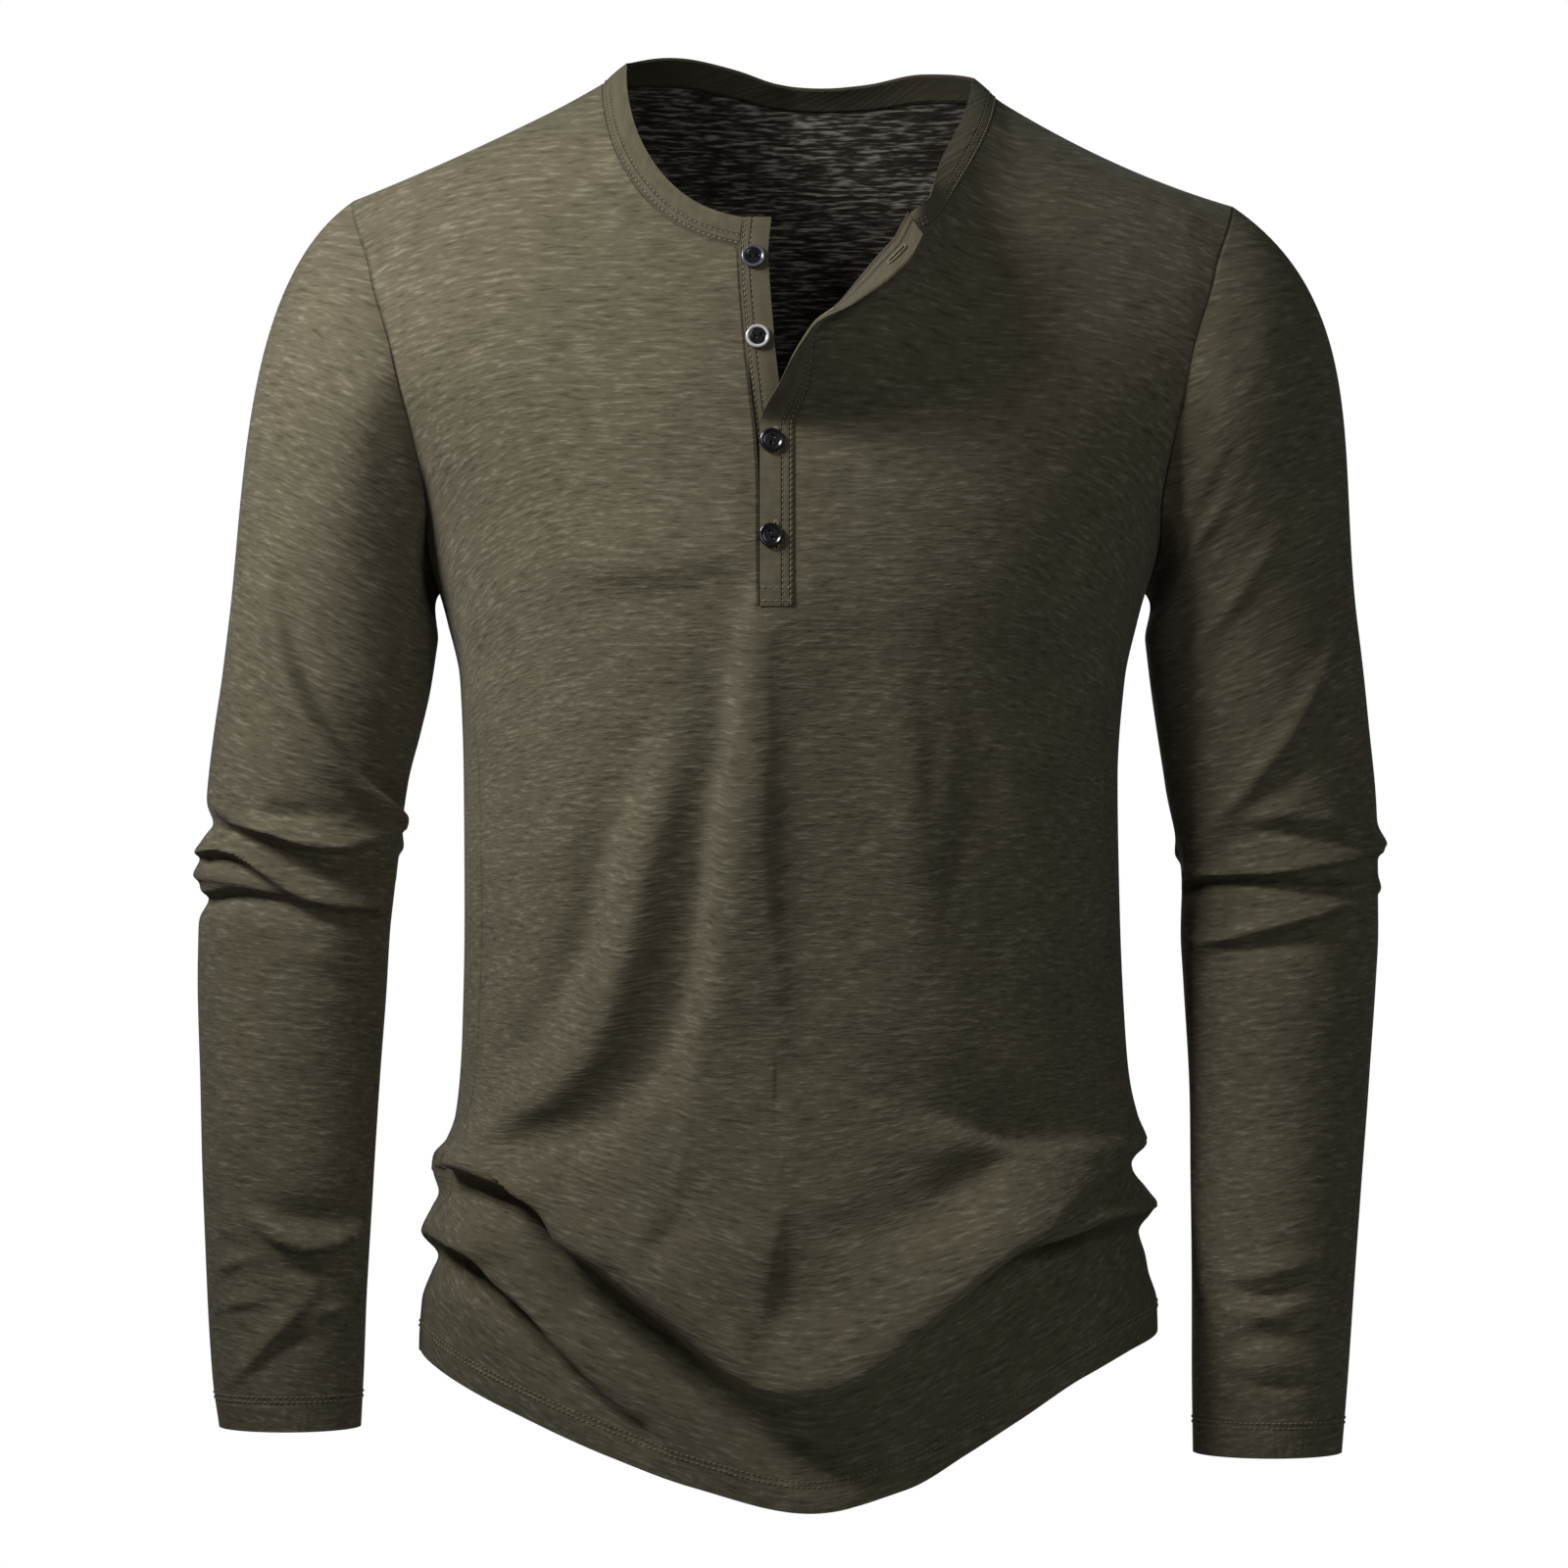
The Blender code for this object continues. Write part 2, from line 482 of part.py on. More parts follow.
def front_columns():
    """Places of the front's columns: along the top edge in metres, and lower down as shares."""
    right, left = SIDES[-1], SIDES[1]
    middle, half = neck_middle()
    slot_x = (read(BUTTON_EDGE, "x", SLOT_FOOT_Z), 0.0)
    turns = [np.arcsin((x - middle) / half) for x in slot_x]
    top_x = np.concatenate([
        np.linspace(-right.tip_x, -right.neck_x, SHOULDER_CELLS + 1),
        (middle + half * np.sin(np.linspace(-np.pi / 2, turns[0], NECK_CELLS + 1)))[1:],
        np.linspace(slot_x[0], slot_x[1], SLOT_CELLS + 1)[1:],
        (middle + half * np.sin(np.linspace(turns[1], np.pi / 2, NECK_CELLS + 1)))[1:],
        np.linspace(left.neck_x, left.tip_x, SHOULDER_CELLS + 1)[1:],
    ])
    wide = read(LEVELS, "right", SLOT_FOOT_Z)
    slot_share = np.arcsin(slot_x[0] / wide) / (np.pi / 2)
    side_cells = SHOULDER_CELLS + NECK_CELLS
    low_share = np.concatenate([
        np.linspace(-1, slot_share, side_cells + 1),
        np.linspace(slot_share, 0, SLOT_CELLS + 1)[1:],
        np.linspace(0, 1, side_cells + 1)[1:],
    ])
    return top_x, low_share


FIRST_SLOT = SHOULDER_CELLS + NECK_CELLS
LAST_SLOT = FIRST_SLOT + SLOT_CELLS
FOOT_ROW = len(YOKE_ROWS) - 1


def front_grid():
    top_x, low_share = front_columns()
    angle, z = panel(top_x, low_share, ("front_right", "front_left"))
    flat = body_point(angle, z)
    moved = fold_body(flat, angle, z)
    # The button side swings out to the wearer's right of the slit.
    fade = smooth(1 - (SLOT_FOOT_Z - z) / SLIT_FADE)
    edge = flat[:, FIRST_SLOT]
    shift = (read(BUTTON_EDGE, "x", z[:, FIRST_SLOT]) - edge[:, 0]) * fade[:, FIRST_SLOT]
    reach = smooth(1 - (edge[:, None, 0] - flat[..., 0]) / PULL_REACH)
    moved[:, :FIRST_SLOT + 1, 0] += (shift[:, None] * reach)[:, :FIRST_SLOT + 1]
    # The buttonhole side is carried out and forward by its open corner.
    edge = flat[:, LAST_SLOT]
    moves = ("move_x", "move_y", "move_z")
    shift = np.stack([read(FLAP, name, z[:, LAST_SLOT]) for name in moves], axis=-1)
    shift[:, 0] -= edge[:, 0] * fade[:, LAST_SLOT]
    shift *= (z[:, LAST_SLOT] > SLOT_FOOT_Z - 1e-9)[:, None]
    reach = smooth(1 - (flat[..., 0] - edge[:, None, 0]) / PULL_REACH)[..., None]
    moved[:, LAST_SLOT:] += (shift[:, None] * reach)[:, LAST_SLOT:]
    return moved


def back_grid():
    right, left = SIDES[-1], SIDES[1]
    middle, half = neck_middle()
    top_x = np.concatenate([
        np.linspace(-right.tip_x, -right.neck_x, SHOULDER_CELLS + 1),
        (middle + half * np.sin(np.linspace(-np.pi / 2, np.pi / 2, BACK_NECK_CELLS + 1)))[1:-1],
        np.linspace(left.neck_x, left.tip_x, SHOULDER_CELLS + 1),
    ])
    low_share = np.linspace(-1, 1, len(top_x))
    angle, z = panel(top_x, low_share, ("back_right", "back_left"))
    return fold_body(body_point(angle, z), angle, z)


# ---------------------------------------------------------------- sleeves
def arm_ring(side, turn, z):
    """Points round the sleeve: turn 0 is outside, a quarter is the front, a half is inside."""
    arm = ARMS[side]
    wide, deep = read(arm, "wide", z), read(arm, "deep", z)
    x = read(arm, "x", z) + wide * np.cos(turn)
    y = read(arm, "y", z) - deep * np.sin(turn)
    tilt = BICEPS_TILT * smooth((z - ELBOW_TOP_Z) / (BICEPS_Z - ELBOW_TOP_Z))
    return np.stack([side * x, y, z + tilt * wide * np.cos(turn)], axis=-1)


def sleeve_grid(side, loop):
    """Rows of points of a sleeve, from the armhole loop to the cuff."""
    count = len(loop)
    half = count // 2
    even = 2 * np.pi * np.arange(count) / count
    steps = np.linalg.norm(np.diff(np.concatenate([loop, loop[:1]]), axis=0), axis=1)
    run = np.concatenate([[0], np.cumsum(steps)])
    front = np.pi * run[:half] / run[half]
    back = np.pi + np.pi * (run[half:count] - run[half]) / (run[count] - run[half])
    turn = even + TURN_BY_LENGTH * (np.concatenate([front, back]) - even)
    ring = arm_ring(side, turn, np.full(count, BICEPS_Z))
    chord = np.linalg.norm(ring - loop, axis=1, keepdims=True) * CAP_PULL[side]
    leave = unit(np.stack([
        side * (LEAVE_OUT + LEAVE_OUT_SWING * np.cos(turn)),
        -LEAVE_FORWARD * np.sin(turn),
        -(LEAVE_DOWN - LEAVE_DOWN_SWING * np.cos(turn)),
    ], axis=-1)) * chord
    ahead = arm_ring(side, turn, np.full(count, BICEPS_Z - 0.02))
    arrive = unit(ahead - ring) * chord
    t = CAP_ROWS[:, None, None]
    cap = (
        (1 + 2 * t) * (1 - t) ** 2 * loop
        + t * (1 - t) ** 2 * leave
        + t * t * (3 - 2 * t) * ring
        + t * t * (t - 1) * arrive
    )
    cuff_z = ARMS[side][0].z
    heights = np.concatenate([ARM_HEIGHTS, np.linspace(WRIST_Z, cuff_z, CUFF_CELLS + 1)[1:]])
    tube = arm_ring(side, turn[None, :], heights[:, None] + np.zeros(count))
    grid = np.concatenate([loop[None], cap, tube])

    z = grid[..., 2]
    turns = np.where(turn > np.pi * 1.75, turn - 2 * np.pi, turn)[None] + np.zeros_like(z)
    height = fold_height(SLEEVE_FOLDS[side], turns, z, ARM_RADIUS)
    height[0] = 0
    out = np.stack([side * np.cos(turn), -np.sin(turn), np.zeros(count)], axis=-1)
    grid = grid + height[..., None] * out
    grid[..., 2] -= DROOP * np.maximum(height, 0)
    return grid


# ---------------------------------------------------------------- walls
def halves(quads, points):
    """Splits each quad along its shorter diagonal, so that two walls that face each other match."""
    corners = points[quads]
    across = np.linalg.norm(corners[:, 0] - corners[:, 2], axis=1)
    other = np.linalg.norm(corners[:, 1] - corners[:, 3], axis=1)
    turned = np.where((other < across)[:, None], np.roll(quads, -1, axis=1), quads)
    return np.concatenate([turned[:, [0, 1, 2]], turned[:, [0, 2, 3]]])


def wall(name, outer, normal, material, keep=None, closed=False, flip=False):
    """A cloth wall as one object: outer grid, inner grid and the rims that join them.

    keep says which cells of the grid are cloth, and closed joins the last column to the first.
    """
    rows, columns = outer.shape[:2]
    cells = columns if closed else columns - 1
    keep = np.ones((rows - 1, cells), bool) if keep is None else keep
    index = np.arange(rows * columns).reshape(rows, columns)
    next_column = np.roll(index, -1, axis=1)[:, :cells]
    this_column = index[:, :cells]
    quads = np.stack(
        [this_column[:-1], this_column[1:], next_column[1:], next_column[:-1]], axis=-1,
    )[keep]
    if flip:
        quads = quads[:, ::-1]
    shift = rows * columns
    points = np.concatenate([outer.reshape(-1, 3), (outer - normal * CLOTH).reshape(-1, 3)])
    ends = np.stack([quads, np.roll(quads, -1, axis=1)], axis=-1).reshape(-1, 2)
    known = {tuple(pair) for pair in ends.tolist()}
    rims = np.array([(b, a, a + shift, b + shift) for a, b in ends.tolist() if (b, a) not in known])
    sheet = halves(quads, points)
    faces = np.concatenate([sheet, sheet[:, ::-1] + shift, halves(rims, points)])
    used, faces = np.unique(faces, return_inverse=True)
    mesh = bpy.data.meshes.new(name)
    mesh.from_pydata(points[used].tolist(), [], faces.reshape(-1, 3).tolist())
    mesh.validate()
    mesh.shade_smooth()
    mesh.set_sharp_from_angle(angle=np.radians(SHARP_ANGLE))
    mesh.materials.append(material)
    shape = bpy.data.objects.new(name, mesh)
    bpy.context.scene.collection.objects.link(shape)
    return shape


def share(*edges):
    """Gives edges of several pieces, each (normals, rows, columns), their mean direction."""
    mean = unit(sum(normal[rows, columns] for normal, rows, columns in edges))
    for normal, rows, columns in edges:
        normal[rows, columns] = mean


def trim(grid, normal, *edges):
    """Moves edges back into their own piece by half a seam gap, along the cloth.

    Each edge is (rows, columns, step), and step leads from the edge to the row or column
    inside it. A corner that lies on two edges moves by both.
    """
    moved = grid.copy()
    for rows, columns, step in edges:
        rows, columns = np.broadcast_arrays(rows, columns)
        edge = grid[rows, columns]
        inside = grid[rows + step[0], columns + step[1]]
        way = unit(np.cross(unit(np.gradient(edge, axis=0)), normal[rows, columns]))
        inwards = np.sign(np.sum(way * (inside - edge), axis=-1, keepdims=True))
        moved[rows, columns] += way * inwards * GAP / 2
    grid[:] = moved


def cloth_material(name, colour, roughness):
    material = bpy.data.materials.new(name)
    material.use_nodes = True
    shader = material.node_tree.nodes["Principled BSDF"]
    shader.inputs["Base Color"].default_value = (*colour, 1)
    shader.inputs["Roughness"].default_value = roughness
    shader.inputs["Metallic"].default_value = 0
    return material


# ---------------------------------------------------------------- strips
def strip(edge, way, width):
    """A ruled strip: rows follow the seam edge, columns leave it along a direction."""
    offsets = np.linspace(0, width, STRIP_CELLS + 1)
    return edge[:, None] + offsets[None, :, None] * unit(way)[:, None]


# ---------------------------------------------------------------- buttons
def button_mesh(material):
    """A turned disc with a raised rim and a dished middle, cut through by two thread holes."""
    shape = bmesh.new()
    points = [
        shape.verts.new((row.radius * BUTTON_RADIUS, 0, row.height * BUTTON_THICKNESS))
        for row in BUTTON_PROFILE
    ]
    edges = [shape.edges.new(pair) for pair in zip(points, points[1:])]
    bmesh.ops.spin(
        shape, geom=points + edges, cent=(0, 0, 0), axis=(0, 0, 1), angle=2 * np.pi,
        steps=BUTTON_STEPS, use_duplicate=False,
    )
    bmesh.ops.remove_doubles(shape, verts=shape.verts, dist=1e-6)
    bmesh.ops.recalc_face_normals(shape, faces=shape.faces)
    mesh = bpy.data.meshes.new("button_blank")
    shape.to_mesh(mesh)
    shape.free()
    mesh.materials.append(material)
    blank = bpy.data.objects.new("button_blank", mesh)
    bpy.context.scene.collection.objects.link(blank)
    cutters = []
    for side in (-1, 1):
        drill = bmesh.new()
        bmesh.ops.create_cone(
            drill, cap_ends=True, segments=DRILL_SIDES,
            radius1=BUTTON_HOLE_RADIUS, radius2=BUTTON_HOLE_RADIUS, depth=4 * BUTTON_THICKNESS,
            matrix=Matrix.Translation((side * BUTTON_HOLE_SPACING / 2, 0, 0)),
        )
        tool = bpy.data.meshes.new("drill")
        drill.to_mesh(tool)
        drill.free()
        cutter = bpy.data.objects.new("drill", tool)
        bpy.context.scene.collection.objects.link(cutter)
        cutters.append(cutter)
        cut = blank.modifiers.new("hole", "BOOLEAN")
        cut.operation = "DIFFERENCE"
        cut.object = cutter
    bpy.context.view_layer.update()
    graph = bpy.context.evaluated_depsgraph_get()
    finished = bpy.data.meshes.new_from_object(blank.evaluated_get(graph))
    finished.name = "button"
    for helper in (blank, *cutters):
        bpy.data.objects.remove(helper)
    return finished


def finer(grid, steps):
    """The same grid with every cell split into steps by steps, on straight lines."""
    for axis in (0, 1):
        count = grid.shape[axis]
        at = np.linspace(0, count - 1, (count - 1) * steps + 1)
        low = np.minimum(at.astype(int), count - 2)
        share = np.expand_dims(at - low, (1 - axis, 2))
        grid = np.take(grid, low, axis) * (1 - share) + np.take(grid, low + 1, axis) * share
    return grid


def place_button(name, mesh, row, grid, normal):
    """Sets a button on a strip's outer face, just clear of where its back first meets it."""
    points = finer(grid, SEAT_STEPS)
    away = np.hypot(points[..., 0] - row.x, points[..., 2] - row.z)
    nearest = np.unravel_index(np.argmin(away), away.shape)
    face = unit(finer(normal, SEAT_STEPS)[nearest])
    aim = points[nearest]
    height = (points - aim) @ face
    off = np.linalg.norm(points - aim - height[..., None] * face, axis=-1)
    seat = height[off < BUTTON_RADIUS].max() + 2 * GAP
    shape = bpy.data.objects.new(name, mesh)
    facing = Vector(face).to_track_quat("Z", "Y").to_matrix().to_4x4()
    turned = Matrix.Rotation(np.radians(row.turn), 4, "Z")
    shape.matrix_world = Matrix.Translation(aim + face * seat) @ facing @ turned
    bpy.context.scene.collection.objects.link(shape)


# ---------------------------------------------------------------- the shirt
def main():
    for thing in list(bpy.data.objects):
        bpy.data.objects.remove(thing)
    jersey = cloth_material("slub_jersey", (0.165, 0.148, 0.098), 0.92)
    trim_cloth = cloth_material("plain_trim", (0.175, 0.158, 0.106), 0.90)
    horn = cloth_material("dark_button", (0.012, 0.012, 0.014), 0.25)

    front, back = front_grid(), back_grid()
    front_normal, back_normal = normals(front), -normals(back)
    last_row, last_column = len(front) - 1, front.shape[1] - 1
    back_column = back.shape[1] - 1
    yoke = np.arange(FOOT_ROW + 1)
    below = np.arange(FOOT_ROW, last_row + 1)
    right_shoulder = np.arange(SHOULDER_CELLS + 1)
    front_shoulder = last_column - right_shoulder[::-1]
    back_shoulder = back_column - right_shoulder[::-1]
    ends = ((0, 0), (last_column, back_column))

    # Two panels that meet share one seam line and one direction through the cloth.
    back[below, 0], back[below, back_column] = front[below, 0], front[below, last_column]
    for f, b in ends:
        share((front_normal, below, f), (back_normal, below, b))
    for f, b in ((right_shoulder, right_shoulder), (front_shoulder, back_shoulder)):
        back[0, b] = front[0, f]
        share((front_normal, 0, f), (back_normal, 0, b))

    sleeves = {}
    for side, (f, b) in zip((-1, 1), ends):
        loop = np.concatenate([front[yoke, f], back[yoke[1:-1], b][::-1]])
        grid = sleeve_grid(side, loop)
        normal = -side * normals(grid, closed=True)
        share((normal, 0, yoke[1:-1]), (front_normal, yoke[1:-1], f))
        share((normal, 0, len(loop) - yoke[1:-1]), (back_normal, yoke[1:-1], b))
        share((normal, 0, 0), (front_normal, 0, f), (back_normal, 0, b))
        share((normal, 0, FOOT_ROW), (front_normal, FOOT_ROW, f), (back_normal, FOOT_ROW, b))
        sleeves[side] = grid, normal

    # The neck seam, from the button side of the slit round the back to the buttonhole side.
    right_neck = np.arange(FIRST_SLOT, SHOULDER_CELLS - 1, -1)
    left_neck = np.arange(last_column - SHOULDER_CELLS, LAST_SLOT - 1, -1)
    back_neck = np.arange(SHOULDER_CELLS, SHOULDER_CELLS + BACK_NECK_CELLS + 1)
    seam = np.concatenate([front[0, right_neck], back[0, back_neck[1:-1]], front[0, left_neck]])
    run = np.concatenate([[0], np.cumsum(np.linalg.norm(np.diff(seam, axis=0), axis=1))])
    way = np.stack([read(BAND_WAYS, name, run / run[-1]) for name in "xyz"], axis=-1)
    band = strip(seam, way, BAND_WIDTH)
    band_normal = -normals(band)
    first = len(right_neck) - 1
    second = first + BACK_NECK_CELLS
    share((band_normal, np.arange(first), 0), (front_normal, 0, right_neck[:-1]))
    share((band_normal, np.arange(first + 1, second), 0), (back_normal, 0, back_neck[1:-1]))
    share((band_normal, np.arange(second + 1, len(seam)), 0), (front_normal, 0, left_neck[1:]))
    share((band_normal, first, 0), (front_normal, 0, right_neck[-1]), (back_normal, 0, back_neck[0]))
    share((band_normal, second, 0), (front_normal, 0, left_neck[0]), (back_normal, 0, back_neck[-1]))

    # The two strips of the placket follow the slit's edges and go on up the band's ends.
    slit = yoke[::-1]
    over_edge = np.concatenate([front[slit, LAST_SLOT], band[-1, 1:]])
    under_edge = np.concatenate([front[slit, FIRST_SLOT], band[0, 1:]])
    climb = np.linspace(0, BAND_WIDTH, STRIP_CELLS + 1)[1:]
    closed_z = np.concatenate([slit_heights()[slit], slit_heights()[0] + climb])
    over_way = np.stack([read(FLAP, name, closed_z) for name in ("way_x", "way_y", "way_z")], axis=-1)
    over = strip(over_edge, over_way, OVER_WIDTH)
    over_normal = normals(over)
    under = strip(under_edge, np.tile((1.0, 0.0, 0.0), (len(under_edge), 1)), UNDER_WIDTH)
    under_normal = -normals(under)
    strip_rows = np.arange(len(over))
    share((over_normal, yoke[:-1], 0), (front_normal, slit[:-1], LAST_SLOT))
    end_cells = np.arange(1, STRIP_CELLS + 1)
    share((over_normal, strip_rows[-STRIP_CELLS:], 0), (band_normal, len(seam) - 1, end_cells))
    share((over_normal, FOOT_ROW, 0), (front_normal, 0, LAST_SLOT), (band_normal, len(seam) - 1, 0))
    share((under_normal, yoke[:-1], 0), (front_normal, slit[:-1], FIRST_SLOT))
    share((under_normal, strip_rows[-STRIP_CELLS:], 0), (band_normal, 0, end_cells))
    share((under_normal, FOOT_ROW, 0), (front_normal, 0, FIRST_SLOT), (band_normal, 0, 0))

    side_edges = [((rows, 0, (0, 1)), (rows, -1, (0, -1))) for rows in (yoke, below)]
    trim(
        front, front_normal,
        *side_edges[0], *side_edges[1],
        (0, right_shoulder, (1, 0)), (0, front_shoulder, (1, 0)),
        (0, right_neck, (1, 0)), (0, left_neck, (1, 0)),
        (yoke, FIRST_SLOT, (0, -1)), (yoke, LAST_SLOT, (0, 1)),
        (FOOT_ROW, np.arange(FIRST_SLOT, LAST_SLOT + 1), (1, 0)),
    )
    trim(
        back, back_normal,
        *side_edges[0], *side_edges[1],
        (0, right_shoulder, (1, 0)), (0, back_shoulder, (1, 0)), (0, back_neck, (1, 0)),
    )
    trim(
        band, band_normal,
        (np.arange(len(seam)), 0, (0, 1)),
        (0, np.arange(STRIP_CELLS + 1), (1, 0)), (-1, np.arange(STRIP_CELLS + 1), (-1, 0)),
        (-1, np.arange(STRIP_CELLS + 1), (-1, 0)),
    )
    for grid, normal in ((over, over_normal), (under, under_normal)):
        trim(grid, normal, (strip_rows, 0, (0, 1)), (0, np.arange(STRIP_CELLS + 1), (1, 0)))
    depth = UNDER_DEPTH * smooth((UNDER_START_Z - closed_z) / UNDER_BLEND)
    under -= under_normal * depth[:, None, None]
    under[0, :, 2] += FOOT_STEP

    keep = np.ones((last_row, last_column), bool)
    keep[:FOOT_ROW, FIRST_SLOT:LAST_SLOT] = False
    wall("front", front, front_normal, jersey, keep=keep)
    wall("back", back, back_normal, jersey, flip=True)
    for side, name in ((-1, "sleeve_right"), (1, "sleeve_left")):
        grid, normal = sleeves[side]
        trim(grid, normal, (0, np.arange(grid.shape[1]), (1, 0)))
        wall(name, grid, normal, jersey, closed=True, flip=side > 0)
    wall("neckband", band, band_normal, trim_cloth, flip=True)
    wall("placket_over", over, over_normal, trim_cloth)
    wall("placket_under", under, under_normal, trim_cloth, flip=True)

    mesh = button_mesh(horn)
    strips = {"placket_over": (over, over_normal), "placket_under": (under, under_normal)}
    for number, row in enumerate(BUTTONS, 1):
        place_button(f"button_{number}", mesh, row, *strips[row.strip])


def slit_heights():
    """Heights of the slit's rows on the buttonhole side, as if it were buttoned."""
    top_x = front_columns()[0][LAST_SLOT]
    top = float(neck_heights(top_x, False))
    return top + YOKE_ROWS * (SLOT_FOOT_Z - top)


main()
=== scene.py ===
"""Dresses a packed henley shirt: finer cloth with its folds and slubs, stitching and buttons.

Metres, +Z up. The front faces -Y, and the wearer's left side is +X. Every cloth piece is a grid
of points worked out from the tables below, and an inner grid behind it. Rows of a body panel go
from the shoulders down and its columns from the wearer's right to their left. Columns of a
sleeve go round the arm, and rows of a strip along its seam.
"""

from collections import namedtuple
from functools import lru_cache

import bpy
import numpy as np
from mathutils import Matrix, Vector


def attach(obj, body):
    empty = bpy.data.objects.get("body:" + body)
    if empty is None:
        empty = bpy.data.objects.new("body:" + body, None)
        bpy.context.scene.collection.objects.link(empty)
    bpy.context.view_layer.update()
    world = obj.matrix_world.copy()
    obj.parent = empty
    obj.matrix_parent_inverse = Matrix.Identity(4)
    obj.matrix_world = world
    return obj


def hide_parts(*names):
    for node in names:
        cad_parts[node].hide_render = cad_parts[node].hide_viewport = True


bl_info = {
    "name": "Henley Shirt",
    "version": (1, 0, 0),
    "blender": (4, 5, 0),
    "location": "3D View > Sidebar > Henley",
    "description": "Makes the cloth, stitching and buttons of a henley shirt",
    "category": "Add Mesh",
}

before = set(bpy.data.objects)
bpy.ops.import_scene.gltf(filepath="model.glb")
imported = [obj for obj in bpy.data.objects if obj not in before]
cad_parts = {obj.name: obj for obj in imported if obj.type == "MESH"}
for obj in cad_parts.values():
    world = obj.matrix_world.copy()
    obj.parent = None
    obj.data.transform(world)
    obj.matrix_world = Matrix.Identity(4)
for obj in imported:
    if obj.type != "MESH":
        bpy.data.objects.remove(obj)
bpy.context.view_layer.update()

# ---------------------------------------------------------------- shape of the shirt
BAND_WIDTH = 0.0155
OVER_WIDTH = 0.0160  # buttonhole strip of the placket
UNDER_WIDTH = 0.0145  # button strip of the placket
SLOT_FOOT_Z = -0.2646  # lower end of the placket
UNDERARM_Z = -0.2555
UNDER_DEPTH = 0.0018  # how far the button strip lies behind the buttonhole strip
UNDER_START_Z = -0.1400  # from here down it goes behind, over UNDER_BLEND
UNDER_BLEND = 0.0320
OVER_LIFT = 0.0005  # how far the buttonhole strip stands proud of the front
OVER_LAP = 0.0010  # and how far it laps onto it

SECTION_POWER = 0.86  # under 1, a flatter chest than an ellipse
ROUNDING_MIDDLE = 0.33  # height over which a shoulder rounds, at the neck's middle
ROUNDING_TIP = 0.16  # and ROUNDING_REACH from it
ROUNDING_REACH = 0.20
NECK_DROP = 0.0895  # depth of the front neck seam under the line of the neck points
NECK_POWER = 2.4  # over 2, a squarer U than an ellipse
FAN_POWER = 1.8  # over 1, columns spread out fast below the neck
PULL_REACH = 0.110  # how far from the slit its open edges still move the front
SLIT_FADE = 0.080  # and how far below it
COLLAR_LIFT = 0.0115  # how far the neck seam rises beside the open corner
COLLAR_REACH = 0.080  # and how far below it the cloth follows
COLLAR_POWER = 0.8  # under 1, highest nearer the slit than the shoulder
COLLAR_SIDE = 0.5  # share of the rise by which it also moves towards the slit
DROOP = 0.35  # share of a fold's height by which it also hangs down
BODY_RADIUS = 0.180  # with ARM_RADIUS, turns an angle into a distance for folds and grain
ARM_RADIUS = 0.050

# Courses of the body: they droop beyond a distance from the middle, with a strength that grows
# with height, and below the waist they hang in a V that is round at its foot.
DROOP_FROM_Z = -0.42
DROOP_RISE = 0.20
DROOP_BEYOND = 0.10
SWAG_FROM_Z = -0.46
SWAG_FALL = 0.14
SWAG_SLOPE = 0.42
SWAG_ROUND = 0.03

BICEPS_Z = -0.2750
ELBOW_TOP_Z = -0.3500
ELBOW_FOOT_Z = -0.4350
WRIST_Z = -0.5800
BICEPS_TILT = 0.10
CAP_PULL = {-1: 0.92, 1: 1.16}  # strength of a sleeve head's end directions
TURN_BY_LENGTH = 0.35  # how far the sleeve's columns keep the spacing of the armhole
LEAVE_OUT = 0.80  # direction in which the sleeve leaves the armhole, and its swing
LEAVE_OUT_SWING = 0.08
LEAVE_FORWARD = 0.42
LEAVE_DOWN = 0.70
LEAVE_DOWN_SWING = 0.10
HEAD_AHEAD = 0.02  # how far below the biceps the ring lies that a sleeve's head points to there
LAST_TURN = 1.75 * np.pi  # folds of a sleeve are read for turns up to this, and from a turn less
SLEEVE_SLOPE = 0.12  # slope of a sleeve's courses below the elbow
SLEEVE_STEEPER = 0.34  # how much more it is above it, from this height up and over this length
SLEEVE_STEEPER_Z = -0.42
SLEEVE_STEEPER_REACH = 0.16

Side = namedtuple("Side", "neck_x neck_z tip_x tip_z sag")
SIDES = {
    -1: Side(0.094, 0.005, 0.2235, -0.055, 0.002),
    1: Side(0.104, -0.003, 0.2250, -0.058, 0.005),
}

